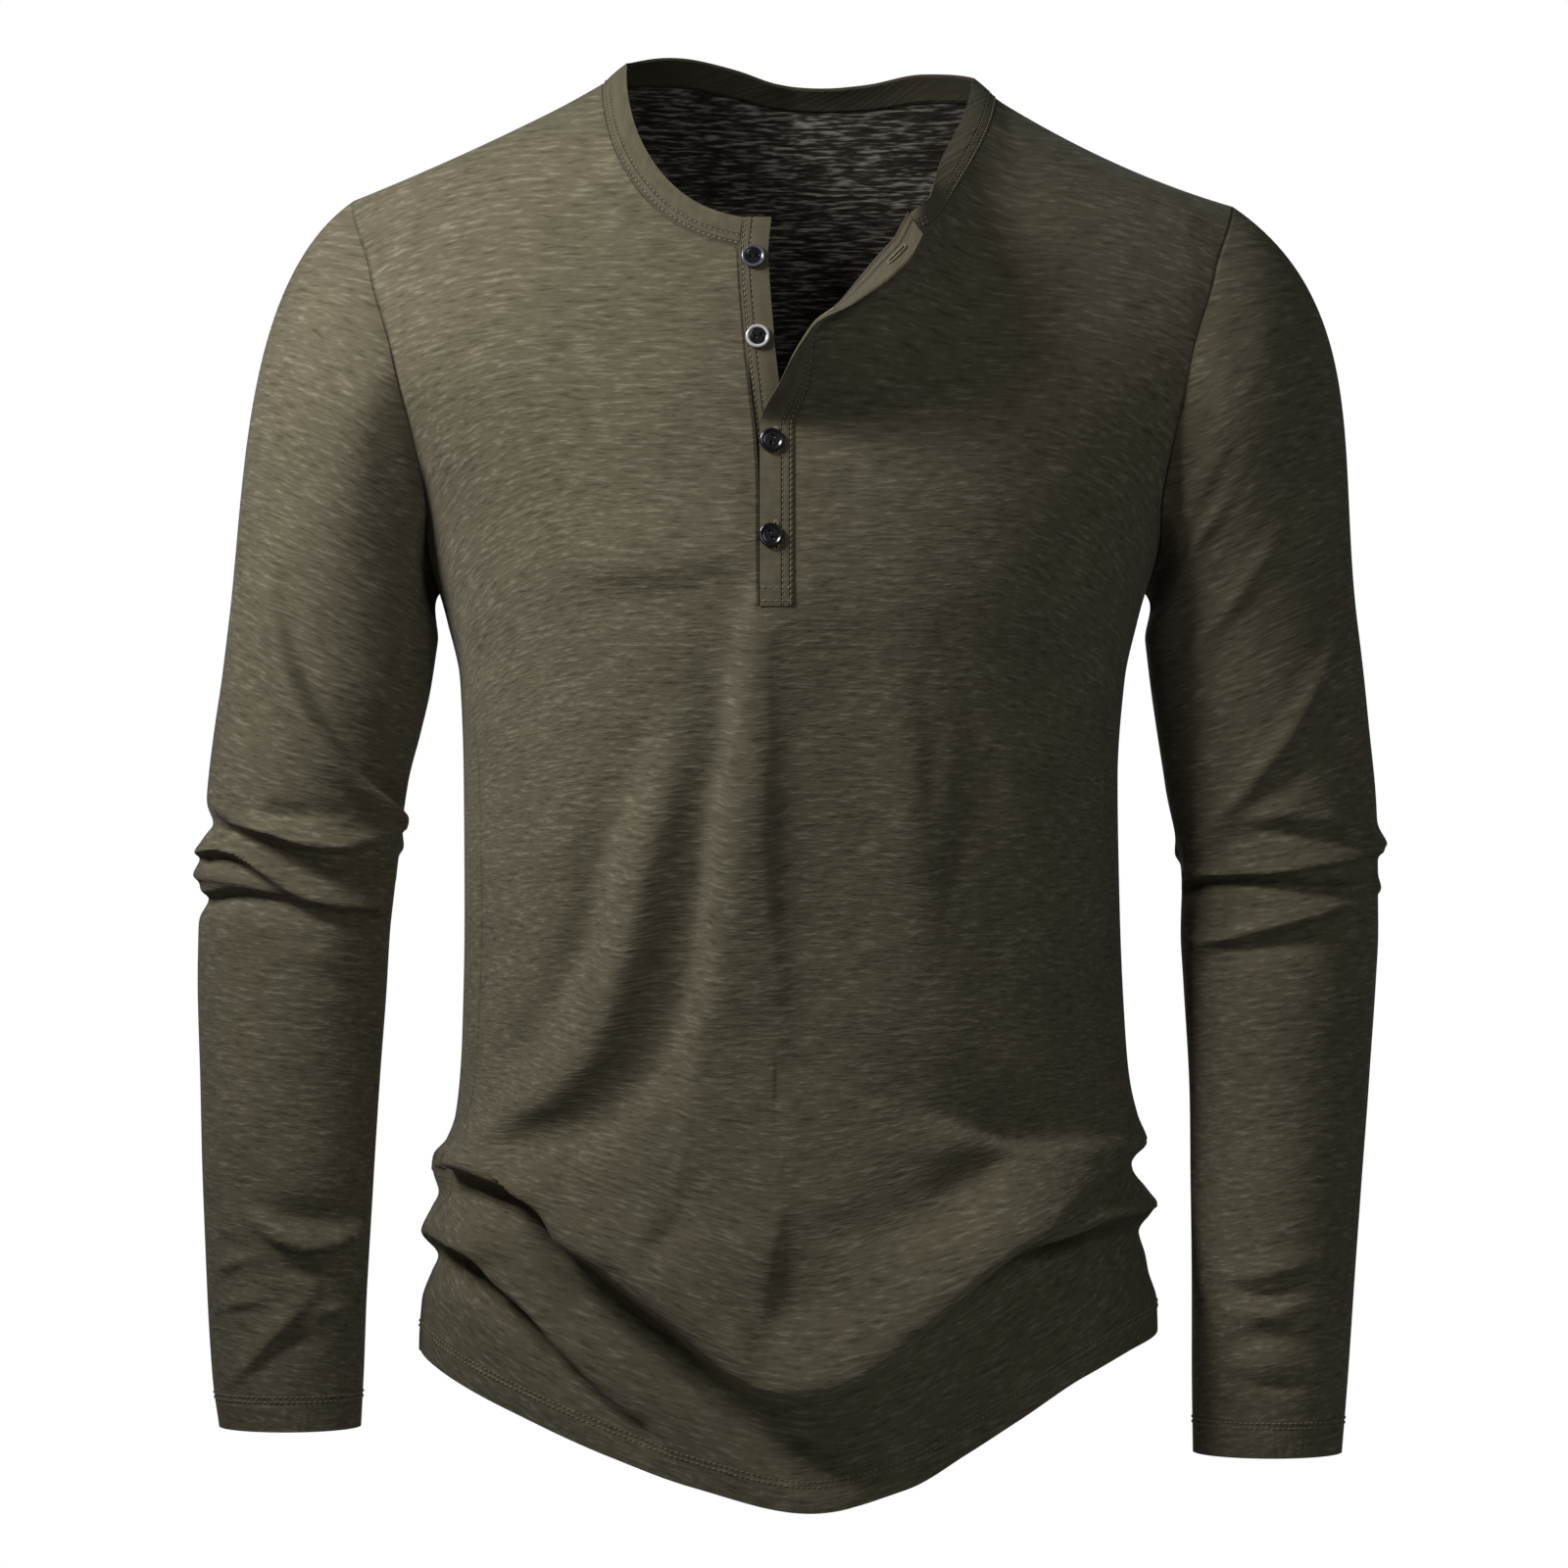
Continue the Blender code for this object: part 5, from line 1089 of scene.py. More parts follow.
# ---------------------------------------------------------------- meshes
def new_piece(name, points, faces, materials, slots=None):
    """A smooth mesh object at the origin from arrays of points and of triangles or quads."""
    mesh = bpy.data.meshes.new(name)
    mesh.vertices.add(len(points))
    mesh.vertices.foreach_set("co", np.asarray(points, np.float32).ravel())
    width = faces.shape[1]
    mesh.loops.add(faces.size)
    mesh.loops.foreach_set("vertex_index", faces.astype(np.int32).ravel())
    mesh.polygons.add(len(faces))
    mesh.polygons.foreach_set("loop_start", np.arange(0, faces.size, width, dtype=np.int32))
    mesh.polygons.foreach_set("use_smooth", np.ones(len(faces), bool))
    for material in materials:
        mesh.materials.append(material)
    if slots is not None:
        mesh.polygons.foreach_set("material_index", slots.astype(np.int32))
    mesh.update(calc_edges=True)
    piece = bpy.data.objects.new(name, mesh)
    bpy.context.scene.collection.objects.link(piece)
    return piece


def paint(piece, name, values):
    """A number for each point of a mesh, under this name."""
    layer = piece.data.attributes.new(name, "FLOAT", "POINT")
    layer.data.foreach_set("value", np.asarray(values, np.float32).ravel())


def wall(name, cloth, thickness, materials, keep=None, closed=False, flip=False):
    """A cloth wall as one object: outer grid, inner grid and the rims that join them.

    The inner grid is the outer one moved in along the normals by the thickness, a number or
    one for each point. Rims close every edge where two faces don't meet. The first material
    covers the outside and the rims, and the second the inside.
    """
    rows, columns = cloth.grid.shape[:2]
    cells = columns if closed else columns - 1
    keep = np.ones((rows - 1, cells), bool) if keep is None else keep
    index = np.arange(rows * columns).reshape(rows, columns)
    this, after = index[:, :cells], np.roll(index, -1, axis=1)[:, :cells]
    quads = np.stack([this[:-1], this[1:], after[1:], after[:-1]], axis=-1)[keep]
    corner = np.broadcast_to(np.arange(cells), (rows - 1, cells))[keep]
    step = np.array([0, 0, 1, 1])
    if flip:
        quads, step = quads[:, ::-1], step[::-1]
    count = rows * columns
    ends = np.stack([quads, np.roll(quads, -1, axis=1)], axis=-1).reshape(-1, 2)
    key, mirrored = ends[:, 0] * count + ends[:, 1], ends[:, 1] * count + ends[:, 0]
    a, b = ends[~np.isin(mirrored, key)].T
    rims = np.stack([b, a, a + count, b + count], axis=-1)
    inner = cloth.grid - cloth.normal * np.broadcast_to(thickness, (rows, columns))[..., None]
    points = np.concatenate([cloth.grid.reshape(-1, 3), inner.reshape(-1, 3)])
    faces = np.concatenate([quads, quads[:, ::-1] + count, rims])
    sides = np.repeat([0, 1, 0], [len(quads), len(quads), len(rims)])

    # Where the place along a closed tube's cloth falls back by a turn, it goes on instead.
    along = cloth.along.reshape(-1)
    run = along[quads]
    if closed:
        place = corner[:, None] + step
        turned = np.argmax(np.abs(np.diff(cloth.along[0]))) + 1
        wrap = place == turned
        crossing = corner == turned - 1
        run = np.where(wrap & crossing[:, None], run + 2 * np.pi * ARM_RADIUS, run)
    across = cloth.across.reshape(-1)
    uv = np.stack([run, across[quads]], axis=-1)
    folded = np.tile(np.arange(count), 2)
    rim_uv = np.stack([along[folded[rims]], across[folded[rims]]], axis=-1)
    uv = np.concatenate([uv, uv[:, ::-1], rim_uv])

    used, faces = np.unique(faces, return_inverse=True)
    piece = new_piece(name, points[used], faces.reshape(-1, 4), materials, sides)
    layer = piece.data.uv_layers.new(name="cloth")
    layer.data.foreach_set("uv", uv.astype(np.float32).ravel())
    for label, values in (("seam", cloth.seam), ("hem", cloth.hem)):
        paint(piece, label, np.tile(np.broadcast_to(values, (rows, columns)).ravel(), 2)[used])
    piece.data.set_sharp_from_angle(angle=np.radians(SHARP_ANGLE))
    return piece


# ---------------------------------------------------------------- materials
class Graph:
    """Shader nodes of one material, made by kind and linked by their sockets."""

    def __init__(self, name):
        self.material = bpy.data.materials.new(name)
        self.material.use_nodes = True
        self.tree = self.material.node_tree
        self.shader = self.tree.nodes["Principled BSDF"]

    def put(self, node, inputs):
        """Gives inputs of a node, by name or place, a socket or a value each."""
        for key, value in inputs.items():
            if isinstance(value, bpy.types.NodeSocket):
                self.tree.links.new(value, node.inputs[key])
            else:
                node.inputs[key].default_value = value

    def add(self, kind, inputs=None, **settings):
        """A node of a kind, with its inputs and its own settings."""
        node = self.tree.nodes.new(kind)
        for key, value in settings.items():
            setattr(node, key, value)
        self.put(node, inputs or {})
        return node

    def math(self, operation, a, b=0.0):
        """A sum or the like of one or two sockets or numbers."""
        return self.add("ShaderNodeMath", {0: a, 1: b}, operation=operation).outputs[0]

    def weighted(self, *parts):
        """Sum of sockets, each times its own number."""
        total, *others = [self.math("MULTIPLY", socket, weight) for socket, weight in parts]
        for other in others:
            total = self.math("ADD", total, other)
        return total

    def cloth_place(self):
        """Metres along and across the courses of the jersey."""
        return self.add("ShaderNodeUVMap", uv_map="cloth").outputs[0]

    def solid_place(self):
        """Metres in space."""
        return self.add("ShaderNodeTexCoord").outputs["Object"]

    def number(self, name):
        """A number painted on the mesh."""
        return self.add("ShaderNodeAttribute", attribute_name=name).outputs["Fac"]

    def noise(self, place, scale, detail=2.0, roughness=0.5, shift=0.0):
        """Noise stretched by a scale for each axis, between 0 and 1 around a half."""
        moved = self.add(
            "ShaderNodeMapping", {"Vector": place, "Scale": scale, "Location": (shift,) * 3},
        ).outputs[0]
        return self.add(
            "ShaderNodeTexNoise",
            {"Vector": moved, "Scale": 1.0, "Detail": detail, "Roughness": roughness},
            noise_dimensions="3D",
        ).outputs[0]

    def between(self, value, low, high, to_low=0.0, to_high=1.0):
        """A smooth step of a value from one range to another."""
        return self.add(
            "ShaderNodeMapRange", {0: value, 1: low, 2: high, 3: to_low, 4: to_high},
            interpolation_type="SMOOTHSTEP",
        ).outputs[0]

    def blend(self, share, a, b, kind="MIX"):
        """Two colours mixed by a share; each is a socket or a colour."""
        a, b = ((*value, 1.0) if isinstance(value, tuple) else value for value in (a, b))
        return self.add(
            "ShaderNodeMix", {0: share, 6: a, 7: b}, data_type="RGBA", blend_type=kind,
        ).outputs[2]

    def shaded(self, colour, light):
        """A colour multiplied by a number."""
        grey = self.add("ShaderNodeCombineColor", {0: light, 1: light, 2: light})
        return self.blend(1.0, colour, grey.outputs[0], "MULTIPLY")

    def bump(self, height, distance, strength=1.0, over=None):
        """Relief on the surface, or on the relief that another bump gives."""
        inputs = {"Height": height, "Distance": distance, "Strength": strength}
        if over is not None:
            inputs["Normal"] = over
        return self.add("ShaderNodeBump", inputs).outputs[0]

    def finish(self, colour, normal=None, **values):
        """The material, with the colour, the relief and the shader's other values, by name."""
        names = (key.replace("_", " ").title().replace("Ior", "IOR") for key in values)
        self.put(self.shader, {"Base Color": colour, **dict(zip(names, values.values()))})
        if normal is not None:
            self.put(self.shader, {"Normal": normal})
        return self.material


# Slubs of a jersey: how many lie side by side in a metre, and the levels of the noise at which
# its pale and its dark dashes begin and are full.
Yarn = namedtuple("Yarn", "across pale_from pale_full dark_from dark_full")
FACE_YARN = Yarn(470, 0.50, 0.70, 0.49, 0.30)
REVERSE_YARN = Yarn(640, 0.47, 0.66, 0.48, 0.34)


@lru_cache(maxsize=None)
def slub_jersey(name, ground, pale, dark, yarn):
    """Jersey with short pale and dark dashes along its courses.

    Two stretched noises, about 11 mm and 4 mm long, are cut at a high level for pale dashes and
    at a low one for dark ones, over slow mottling. Their height also raises the yarn.
    """
    graph = Graph(name)
    place = graph.cloth_place()
    long = graph.noise(place, (85, yarn.across, 1), 2.0, 0.50)
    short = graph.noise(place, (230, 1.9 * yarn.across, 1), 1.5, 0.50, 3.7)
    slow = graph.noise(place, (22, 60, 1), 2.0, 0.5, 8.1)
    both = graph.weighted((long, 0.66), (short, 0.34), (graph.math("SUBTRACT", slow, 0.5), 0.16))
    light = graph.between(both, yarn.pale_from, yarn.pale_full)
    deep = graph.between(both, yarn.dark_from, yarn.dark_full)
    colour = graph.blend(light, ground, pale)
    colour = graph.blend(deep, colour, dark)
    mottle = graph.noise(graph.solid_place(), (14, 14, 14), 3.0, 0.6)
    fade = graph.between(mottle, 0.25, 0.75, 0.90, 1.08)
    seam, hem = graph.number("seam"), graph.number("hem")
    # Painted shade: within SEAM_GROOVE of a seam the colour darkens to 0.8, for the shade in its
    # groove.
    painted_seam_shade = graph.between(seam, 0.0, SEAM_GROOVE, 0.80, 1.0)
    colour = graph.shaded(colour, graph.math("MULTIPLY", fade, painted_seam_shade))
    turned = graph.between(hem, *HEM_TURN)
    seam = graph.between(seam, 0.0, SEAM_GROOVE)
    edge = graph.math("SUBTRACT", seam, graph.math("MULTIPLY", turned, 0.45))
    normal = graph.bump(edge, 0.0007, 0.9)
    pucker = graph.noise(place, (170, 60, 1), 2.0, 0.5, 1.9)
    near = graph.between(hem, 0.026, 0.004)
    normal = graph.bump(graph.math("MULTIPLY", pucker, near), 0.0016, 0.7, normal)
    crumple = graph.noise(place, (26, 44, 1), 2.0, 0.5, 6.3)
    normal = graph.bump(crumple, 0.0040, 0.5, normal)
    normal = graph.bump(both, 0.0009, 0.8, normal)
    return graph.finish(
        colour, normal, roughness=0.92, specular_ior_level=0.25, sheen_weight=0.12,
        sheen_roughness=0.5,
    )


@lru_cache(maxsize=None)
def plain_trim(name, ground, rows=TRIM_ROWS):
    """Plain fine jersey for the band and the placket, faintly ribbed, with a channel under each
    row of stitches, and painted shade that darkens the colour in each channel and at the seam."""
    graph = Graph(name)
    place = graph.cloth_place()
    rub = graph.noise(place, (90, 210, 1), 3.0, 0.6)
    fine = graph.noise(place, (1500, 900, 1), 2.0, 0.5, 2.2)
    tone = graph.between(rub, 0.25, 0.75, 0.86, 1.12)
    away = graph.number("seam")
    channels = graph.between(away, 0.0, 0.0014)
    for row in rows:
        off = graph.math("ABSOLUTE", graph.math("SUBTRACT", away, row))
        channels = graph.math("MULTIPLY", graph.between(off, 0.0003, 0.0010), channels)
    # Painted shade: the colour darkens to 0.72 in the channels and at the seam, where shade falls.
    shade = graph.math("MULTIPLY", tone, graph.between(channels, 0.0, 1.0, 0.72, 1.0))
    colour = graph.shaded(ground, shade)
    pucker = graph.noise(place, (260, 40, 1), 2.0, 0.5, 5.5)
    normal = graph.bump(channels, 0.0008, 0.8)
    normal = graph.bump(pucker, 0.0010, 0.5, normal)
    normal = graph.bump(fine, 0.0002, 0.5, normal)
    return graph.finish(
        colour, normal, roughness=0.88, specular_ior_level=0.25, sheen_weight=0.10,
        sheen_roughness=0.5,
    )


@lru_cache(maxsize=None)
def thread(name, ground):
    """Matt sewing thread with a slow change of tone."""
    graph = Graph(name)
    slow = graph.noise(graph.solid_place(), (400, 400, 400), 2.0, 0.6)
    tone = graph.between(slow, 0.3, 0.7, 0.75, 1.15)
    return graph.finish(graph.shaded(ground, tone), roughness=0.75)


@lru_cache(maxsize=None)
def resin(name, ground, rim):
    """Polished resin, clouded within, whose raised rim is painted in a colour of its own: a painted
    reflection of the light.
    """
    graph = Graph(name)
    solid = graph.solid_place()
    cloud = graph.noise(solid, (420, 420, 420), 3.0, 0.6)
    body = graph.blend(graph.between(cloud, 0.45, 0.8), ground, tuple(3 * c for c in ground))
    # Painted reflection: the rim's colour stands in for the light reflected on it.
    colour = graph.blend(graph.number("rim"), body, rim)
    scratch = graph.noise(solid, (1400, 1400, 1400), 2.0, 0.6)
    normal = graph.bump(scratch, 0.0001, 0.25)
    return graph.finish(colour, normal, roughness=0.22, coat_weight=0.5, coat_roughness=0.12)


def ground_cloth():
    """The jersey's two sides, from the settings."""
    cloth = bpy.context.scene.henley_cloth
    face = slub_jersey(
        "jersey_face", tuple(cloth.jersey), tuple(cloth.slub), tuple(cloth.shade), FACE_YARN,
    )
    # The inner faces take the reverse, which is darker partly as painted shade of the shirt's
    # inside.
    back = slub_jersey(
        "jersey_reverse", tuple(cloth.reverse), tuple(cloth.reverse_slub),
        tuple(0.4 * c for c in cloth.reverse), REVERSE_YARN,
    )
    return [face, back]


# ---------------------------------------------------------------- stitches
def at_run(at, run, values):
    """Values given along a run, at any places of it."""
    return np.stack([np.interp(at, run, column) for column in values.T], axis=-1)


def lay_stitches(rows, pitch, diameter):
    """Points and faces of stitches laid end to end along rows of points on the cloth.

    A stitch is a spindle: a ring of points whose radius follows half a sine along it. Each is
    turned to the row's direction, with the cloth's normal up, and sinks in at its ends.
    """
    centres, ways, ups = [], [], []
    for points, normal in rows:
        run = run_length(points)
        count = max(int(run[-1] / pitch), 1)
        at = (np.arange(count) + 0.5) * run[-1] / count
        centres.append(at_run(at, run, points))
        ways.append(at_run(at, run, np.gradient(points, run, axis=0)))
        ups.append(at_run(at, run, normal))
    centre, way, up = np.concatenate(centres), unit(np.concatenate(ways)), np.concatenate(ups)
    up = unit(up - way * np.sum(up * way, axis=1, keepdims=True))
    side = np.cross(way, up)
    along = np.linspace(-0.5, 0.5, STITCH_RINGS)[:, None] + np.zeros(STITCH_SIDES)
    swell = np.sqrt(np.clip(np.cos(np.pi * along), 0.02, 1))
    turn = 2 * np.pi * np.arange(STITCH_SIDES) / STITCH_SIDES
    shape = np.stack([
        along * STITCH_SHARE * pitch,
        diameter / 2 * swell * np.cos(turn),
        diameter / 2 * swell * np.sin(turn) + diameter * STITCH_RISE * swell,
    ], axis=-1).reshape(-1, 3)
    axes = np.stack([way, side, up], axis=1)
    points = centre[:, None] + np.einsum("pk,nkc->npc", shape, axes)
    caps = np.array([[0, 1, 2, 3], [0, 3, 4, 5], [3, 2, 1, 0], [5, 4, 3, 0]])
    caps[2:] += (STITCH_RINGS - 1) * STITCH_SIDES
    quads = np.concatenate([grid_faces(STITCH_RINGS, STITCH_SIDES), caps])
    return repeat(points, quads)


def on_cloth(cloth, row, column):
    """Points of a cloth piece at fractional rows and columns, and their normals."""
    return sample(cloth.grid, row, column), unit(sample(cloth.normal, row, column))


def inset_row(cloth, distance):
    """Row of points at a distance from a grid's last row, and their normals."""
    step = np.linalg.norm(cloth.grid[-1] - cloth.grid[-2], axis=-1)
    row = len(cloth.grid) - 1 - distance / step
    return on_cloth(cloth, row, np.arange(cloth.grid.shape[1], dtype=float))


def strip_column(cloth, share_across):
    """Column of a strip at a share of its width, over its whole length."""
    rows = np.linspace(0, 1, 4 * len(cloth.grid)) * (len(cloth.grid) - 1)
    return on_cloth(cloth, rows, np.full(rows.shape, share_across * (cloth.grid.shape[1] - 1)))


def strip_row(cloth, share_along, first, last):
    """Row of a strip at a share of its length, between two shares of its width."""
    columns = np.linspace(first, last, 40) * (cloth.grid.shape[1] - 1)
    return on_cloth(cloth, np.full(columns.shape, share_along * (len(cloth.grid) - 1)), columns)


def closed_row(points, normal):
    """A row carried on to its first point."""
    return np.concatenate([points, points[:1]]), np.concatenate([normal, normal[:1]])


# ---------------------------------------------------------------- buttons
def button_shape(radius, thickness):
    """Turned disc: a profile carried round an axis, with two round pits for the thread.

    Gives its points, how far each lies on the raised rim for the painted reflection, and its faces.
    """
    shares = np.linspace(0, 1, BUTTON_RINGS)
    corner = np.linspace(0, 1, len(BUTTON_PROFILE))
    spread = np.interp(shares, (0, 0.08, 0.62, 1), (0, corner[1], corner[-2], 1))
    r = np.interp(spread, corner, [row.radius for row in BUTTON_PROFILE]) * radius
    h = np.interp(spread, corner, [row.height for row in BUTTON_PROFILE]) * thickness
    turn = 2 * np.pi * np.arange(BUTTON_SIDES) / BUTTON_SIDES
    x, y = r[:, None] * np.cos(turn), r[:, None] * np.sin(turn)
    away = np.minimum(np.hypot(x - HOLE_SPACING, y), np.hypot(x + HOLE_SPACING, y))
    top = spread[:, None] > corner[-3]
    pit = np.where(top, smooth((HOLE_RADIUS - away) / HOLE_EDGE), 0)
    z = h[:, None] - pit * HOLE_DEPTH * thickness
    rim = smooth((r / radius - 0.70) / 0.05) * smooth((h / thickness - 0.45) / 0.2)
    rim = np.broadcast_to(rim[:, None], x.shape)
    points = np.stack([x, y, z], axis=-1)
    ring = np.arange(x.shape[1])
    after = np.roll(ring, -1)
    top = 1 + (len(r) - 3) * len(ring)
    faces = (grid_faces(len(r) - 2, len(ring))[:, ::-1] + 1).tolist()
    faces += np.stack([0 * ring, after + 1, ring + 1], axis=-1).tolist()
    faces += np.stack([0 * ring + top + len(ring), ring + top, after + top], axis=-1).tolist()
    shape = np.concatenate([points[0, :1], points[1:-1].reshape(-1, 3), points[-1, :1]])
    return shape, np.concatenate([rim[0, :1], rim[1:-1].ravel(), rim[-1, :1]]), faces


def seat(row, cloth, radius):
    """Where a button lies on a strip: its middle, just clear of the cloth, and the way it faces."""
    rows, columns = np.meshgrid(
        np.linspace(0, len(cloth.grid) - 1, 5 * len(cloth.grid)),
        np.linspace(0, cloth.grid.shape[1] - 1, 5 * cloth.grid.shape[1]), indexing="ij",
    )
    points, normal = sample(cloth.grid, rows, columns), sample(cloth.normal, rows, columns)
    away = np.hypot(points[..., 0] - row.x, points[..., 2] - row.z)
    nearest = np.unravel_index(np.argmin(away), away.shape)
    face, aim = unit(normal[nearest]), points[nearest]
    height = (points - aim) @ face
    off = np.linalg.norm(points - aim - height[..., None] * face, axis=-1)
    return aim + face * (height[off < radius].max() + SEAT_GAP), face


def facing(face, turn):
    """Axes of a button: across its holes, beside them, and out of its face."""
    across = unit(np.cross(np.array([0.0, 0.0, 1.0]), face))
    beside = np.cross(face, across)
    angle = np.radians(turn)
    first = np.cos(angle) * across + np.sin(angle) * beside
    return np.stack([first, np.cross(face, first), face])


def tube(path, up, radius, sides=8):
    """A round tube along a path, as rings of points, with its sections turned to stay upright."""
    way = unit(np.gradient(path, axis=0))
    side = unit(np.cross(way, up))
    top = np.cross(side, way)
    turn = 2 * np.pi * np.arange(sides) / sides
    return (
        path[:, None]
        + radius[:, None, None] * (np.cos(turn)[None, :, None] * side[:, None]
                                   + np.sin(turn)[None, :, None] * top[:, None])
    )


def grid_faces(rows, columns, close_rows=False):
    """Quads of a grid whose columns are closed, and whose rows are too if asked."""
    index = np.arange(rows * columns).reshape(rows, columns)
    below = np.roll(index, -1, axis=0) if close_rows else index[1:]
    index = index if close_rows else index[:-1]
    after, below_after = np.roll(index, -1, axis=1), np.roll(below, -1, axis=1)
    return np.stack([index, below, below_after, after], axis=-1).reshape(-1, 4)


def repeat(parts, faces):
    """Points of several like parts as one array, and the faces of all from those of one."""
    starts = np.arange(len(parts)) * len(parts[0])
    return np.concatenate(parts), np.concatenate([faces + start for start in starts])


# ---------------------------------------------------------------- operators
def hang(piece, node):
    """Puts a cloth piece on the frame in place of its CAD node."""
    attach(piece, "root")
    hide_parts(node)


class HENLEY_OT_body(bpy.types.Operator):
    """Make the front and the back panel"""

    bl_idname = "henley.body"
    bl_label = "Front and back"

    def execute(self, context):
        cut, materials = cut_cloth(), ground_cloth()
        thickness = context.scene.henley_cloth.thickness
        keep = np.ones((len(cut["front"].grid) - 1, cut["front"].grid.shape[1] - 1), bool)
        keep[:FOOT_ROW, FIRST_SLOT:LAST_SLOT] = False
        front = wall("front_panel", cut["front"], thickness, materials, keep=keep)
        back = wall("back_panel", cut["back"], thickness, materials, flip=True)
        hang(front, "front")
        hang(back, "back")
        return {"FINISHED"}


class HENLEY_OT_sleeves(bpy.types.Operator):
    """Make the two sleeves"""

    bl_idname = "henley.sleeves"
    bl_label = "Sleeves"

    def execute(self, context):
        cut, materials = cut_cloth(), ground_cloth()
        thickness = context.scene.henley_cloth.thickness
        for name in ("sleeve_right", "sleeve_left"):
            piece = wall(
                name + "_cloth", cut[name], thickness, materials, closed=True,
                flip=name == "sleeve_left",
            )
            hang(piece, name)
        return {"FINISHED"}


class HENLEY_OT_trim(bpy.types.Operator):
    """Make the neckband and the two strips of the placket, with their buttonholes"""

    bl_idname = "henley.trim"
    bl_label = "Neckband and placket"

    def execute(self, context):
        cloth = context.scene.henley_cloth
        cut = cut_cloth()
        face = plain_trim("plain_trim_cloth", tuple(cloth.trim))
        # The band's inner face is darker: partly its tape, partly painted shade.
        lining = plain_trim("neck_lining", tuple(cloth.lining), ())
        for name in ("neckband", "placket_over", "placket_under"):
            piece = cut[name]
            # The free edge is a fold, so the wall closes there along a quarter round.
            rolled = np.sqrt(np.clip(1 - (1 - piece.hem / ROLLED_EDGE) ** 2, 0.05, 1))
            rolled = np.where(piece.hem < ROLLED_EDGE, rolled, 1)
            crown = CROWN * np.sin(np.pi * np.clip(piece.seam / (piece.seam + piece.hem), 0, 1))
            raised = piece._replace(grid=piece.grid + piece.normal * crown[..., None])
            made = wall(
                name + "_cloth", raised, cloth.trim_thickness * rolled,
                [face, lining if name == "neckband" else face],
                flip=name != "placket_over",
            )
            hang(made, name)
        self.buttonholes(context)
        return {"FINISHED"}

    def buttonholes(self, context):
        """Each is a slit between two worked edges, on both faces of the buttonhole strip, with a
        painted shadow in it.
        """
        cloth, over = context.scene.henley_cloth, cut_cloth()["placket_over"]
        heights, across = slit_rows(), OVER_WIDTH / STRIP_CELLS
        steps = np.linalg.norm(np.diff(over.grid[:, STRIP_CELLS // 2], axis=0), axis=1)
        turn = 2 * np.pi * np.arange(SLIT_POINTS) / SLIT_POINTS
        # A long ring: an ellipse of high power with straight sides.
        long = SLIT_LENGTH * np.sign(np.cos(turn)) * np.abs(np.cos(turn)) ** 0.5
        wide = SLIT_WIDTH * np.sign(np.sin(turn)) * np.abs(np.sin(turn)) ** 0.6
        round_edge = grid_faces(SLIT_POINTS, THREAD_SIDES, close_rows=True)
        ring = np.arange(SLIT_POINTS)
        fan = np.stack([ring, np.roll(ring, -1), np.full(SLIT_POINTS, SLIT_POINTS)], axis=-1)
        edges, dark = [], []
        for button in BUTTONS:
            row = np.interp(button.z, heights, np.arange(len(heights)))
            rows = row + long / steps[int(row)]
            columns = STRIP_CELLS * SLIT_PLACE + wide / across
            for side in (1, -1):
                points, normal = on_cloth(over, rows, columns)
                normal = normal * side
                path = points + normal * (
                    SLIT_LIFT if side > 0 else cloth.trim_thickness + SLIT_BACK_LIFT
                )
                loop = np.concatenate([path[-1:], path, path[:1]])
                up = np.concatenate([normal[-1:], normal, normal[:1]])
                edge = tube(loop, up, np.full(len(loop), SLIT_THREAD), THREAD_SIDES)[1:-1]
                edges.append(edge.reshape(-1, 3))
                middle = path.mean(axis=0)[None]
                # A dark fan over each slit: a painted shadow in place of an opening.
                dark.append(np.concatenate([path, middle]) - normal[0] * SLIT_SINK)
        work = new_piece(
            "buttonhole_edges", *repeat(edges, round_edge),
            [thread("buttonhole_thread", tuple(context.scene.henley_thread.colour))],
        )
        slits = new_piece(
            "buttonhole_slits", *repeat(dark, fan),
            [plain_trim("slit_shadow", tuple(0.1 * c for c in cloth.trim))],
        )
        for piece in (work, slits):
            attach(piece, "root")


class HENLEY_OT_stitching(bpy.types.Operator):
    """Lay the rows of stitches on the band, the placket, the hem and the cuffs"""

    bl_idname = "henley.stitching"
    bl_label = "Stitching"

    def execute(self, context):
        cut, settings = cut_cloth(), context.scene.henley_thread
        material = thread("sewing_thread", tuple(settings.colour))
        band, over, under = cut["neckband"], cut["placket_over"], cut["placket_under"]
        groups = {
            "neckband_stitches": [strip_column(band, row / BAND_WIDTH) for row in TRIM_ROWS],
            "placket_stitches": [
                *(strip_column(over, row / (OVER_WIDTH + OVER_LAP)) for row in TRIM_ROWS),
                *(strip_column(under, row / UNDER_WIDTH) for row in TRIM_ROWS),
                *(strip_row(over, row, *FOOT_REACH) for row in FOOT_ROWS),
            ],
            "hem_stitches": [
                inset_row(cut[name], row) for name in ("front", "back") for row in HEM_ROWS
            ],
            "cuff_stitches": [
                closed_row(*inset_row(cut[name], row))
                for name in ("sleeve_right", "sleeve_left") for row in CUFF_ROWS
            ],
        }
        for name, rows in groups.items():
            points, faces = lay_stitches(rows, settings.pitch, settings.diameter)
            piece = new_piece(name, points, faces, [material])
            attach(piece, "root")
        return {"FINISHED"}


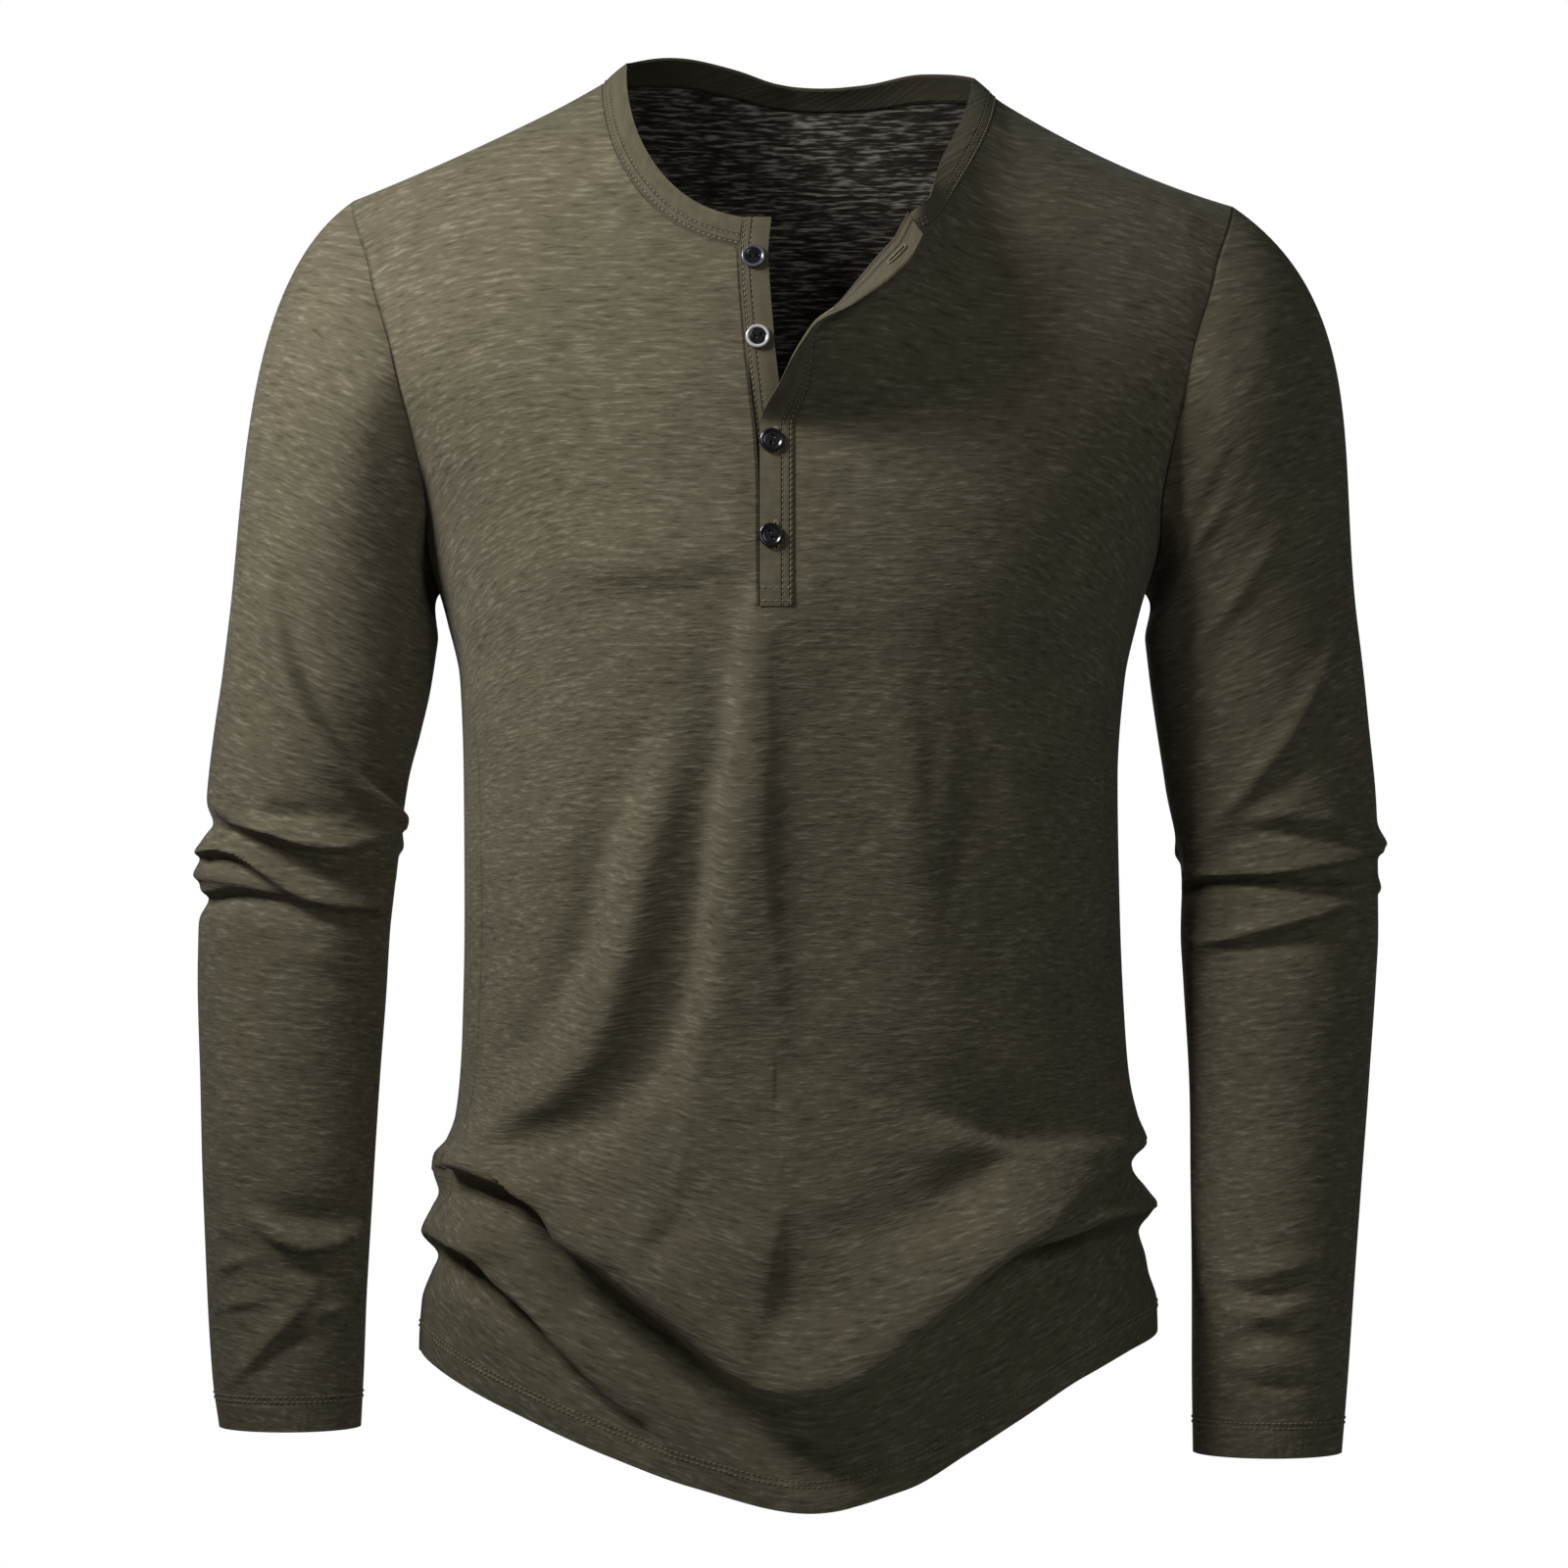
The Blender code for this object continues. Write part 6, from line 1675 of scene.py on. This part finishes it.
class HENLEY_OT_buttons(bpy.types.Operator):
    """Set the four buttons on the placket"""

    bl_idname = "henley.buttons"
    bl_label = "Buttons"

    def execute(self, context):
        settings, cut = context.scene.henley_buttons, cut_cloth()
        shape, rim, faces = button_shape(settings.radius, settings.thickness)
        for number, row in enumerate(BUTTONS, 1):
            middle, face = seat(row, cut[row.strip], settings.radius)
            axes = facing(face, row.turn)
            mesh = bpy.data.meshes.new(f"button_{number}_resin")
            mesh.from_pydata((middle + shape @ axes).tolist(), [], faces)
            mesh.shade_smooth()
            # The rim colours of the top two buttons are painted reflections; the lower two keep a
            # dark rim.
            mesh.materials.append(resin(
                f"resin_{row.rim}", tuple(settings.dark), tuple(getattr(settings, row.rim)),
            ))
            piece = bpy.data.objects.new(f"button_{number}_resin", mesh)
            context.scene.collection.objects.link(piece)
            paint(piece, "rim", rim)
            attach(piece, "root")
            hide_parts(f"button_{number}")
        return {"FINISHED"}


class HENLEY_OT_stage(bpy.types.Operator):
    """Set the floor, the lights and the camera"""

    bl_idname = "henley.stage"
    bl_label = "Stage"

    def execute(self, context):
        scene, settings = context.scene, context.scene.henley_stage
        line = np.linspace(-FLOOR_HALF, FLOOR_HALF, FLOOR_POINTS)
        x, y = np.meshgrid(line, line)
        points = np.stack([x, y, np.full_like(x, FLOOR_Z)], axis=-1).reshape(-1, 3)
        index = np.arange(x.size).reshape(x.shape)
        quads = np.stack([index[:-1, :-1], index[:-1, 1:], index[1:, 1:], index[1:, :-1]], axis=-1)
        graph = Graph("floor_paint")
        tone = graph.between(graph.noise(graph.solid_place(), (3, 3, 3), 2.0), 0.2, 0.8, 0.98, 1.02)
        paint_finish = graph.finish(graph.shaded(tuple(settings.floor), tone), roughness=0.9)
        floor = new_piece("floor", points, quads.reshape(-1, 4), [paint_finish])

        camera_data = bpy.data.cameras.new("camera")
        camera_data.lens, camera_data.sensor_width = CAMERA_LENS, CAMERA_SENSOR
        camera = bpy.data.objects.new("camera", camera_data)
        camera.location = CAMERA_PLACE
        camera.rotation_euler = (np.pi / 2, 0, 0)
        scene.collection.objects.link(camera)
        scene.camera = camera

        for light in LIGHTS:
            self.light(light, settings.key)

        world = scene.world or bpy.data.worlds.new("studio")
        scene.world = world
        world.use_nodes = True
        nodes, links = world.node_tree.nodes, world.node_tree.links
        nodes.clear()
        mix, ray = nodes.new("ShaderNodeMixShader"), nodes.new("ShaderNodeLightPath")
        out = nodes.new("ShaderNodeOutputWorld")
        links.new(ray.outputs["Is Camera Ray"], mix.inputs[0])
        links.new(mix.outputs[0], out.inputs[0])
        # Strength of the white that lights the shirt, and of the white that the camera sees.
        for place, strength in ((1, settings.ambient), (2, 1.0)):
            white = nodes.new("ShaderNodeBackground")
            white.inputs[0].default_value = (1, 1, 1, 1)
            white.inputs[1].default_value = strength
            links.new(white.outputs[0], mix.inputs[place])
        scene.view_settings.view_transform = "Standard"
        return {"FINISHED"}

    def light(self, row, key):
        """A square softbox that faces the lit point, from its row and the key's power."""
        data = bpy.data.lights.new(row.name, "AREA")
        data.size, data.energy, data.color = row.size, row.power * key, row.colour
        data.spread = np.radians(row.spread)
        lamp = bpy.data.objects.new(row.name, data)
        lamp.location = row.place
        way = Vector(LIT_POINT) - lamp.location
        lamp.rotation_euler = way.to_track_quat("-Z", "Y").to_euler()
        lamp.visible_camera = False
        bpy.context.scene.collection.objects.link(lamp)


OPERATORS = (
    HENLEY_OT_body, HENLEY_OT_sleeves, HENLEY_OT_trim, HENLEY_OT_stitching, HENLEY_OT_buttons,
    HENLEY_OT_stage,
)
GROUPS = (
    ("henley_cloth", HenleyCloth), ("henley_thread", HenleyThread),
    ("henley_buttons", HenleyButtons), ("henley_stage", HenleyStage),
)


class HENLEY_PT_sidebar(bpy.types.Panel):
    """Lists the shirt's settings and the operators that make it"""

    bl_label = "Henley shirt"
    bl_space_type = "VIEW_3D"
    bl_region_type = "UI"
    bl_category = "Henley"

    def draw(self, context):
        for name, group in GROUPS:
            box = self.layout.box()
            for key in group.__annotations__:
                box.prop(getattr(context.scene, name), key)
        for operator in OPERATORS:
            self.layout.operator(operator.bl_idname)


def register():
    for name, group in GROUPS:
        bpy.utils.register_class(group)
        setattr(bpy.types.Scene, name, bpy.props.PointerProperty(type=group))
    for item in (*OPERATORS, HENLEY_PT_sidebar):
        bpy.utils.register_class(item)


def unregister():
    for item in (HENLEY_PT_sidebar, *reversed(OPERATORS)):
        bpy.utils.unregister_class(item)
    for name, group in reversed(GROUPS):
        delattr(bpy.types.Scene, name)
        bpy.utils.unregister_class(group)


def main():
    register()
    for operator in OPERATORS:
        getattr(bpy.ops.henley, operator.bl_idname.split(".")[1])()


if __name__ == "__main__":
    main()
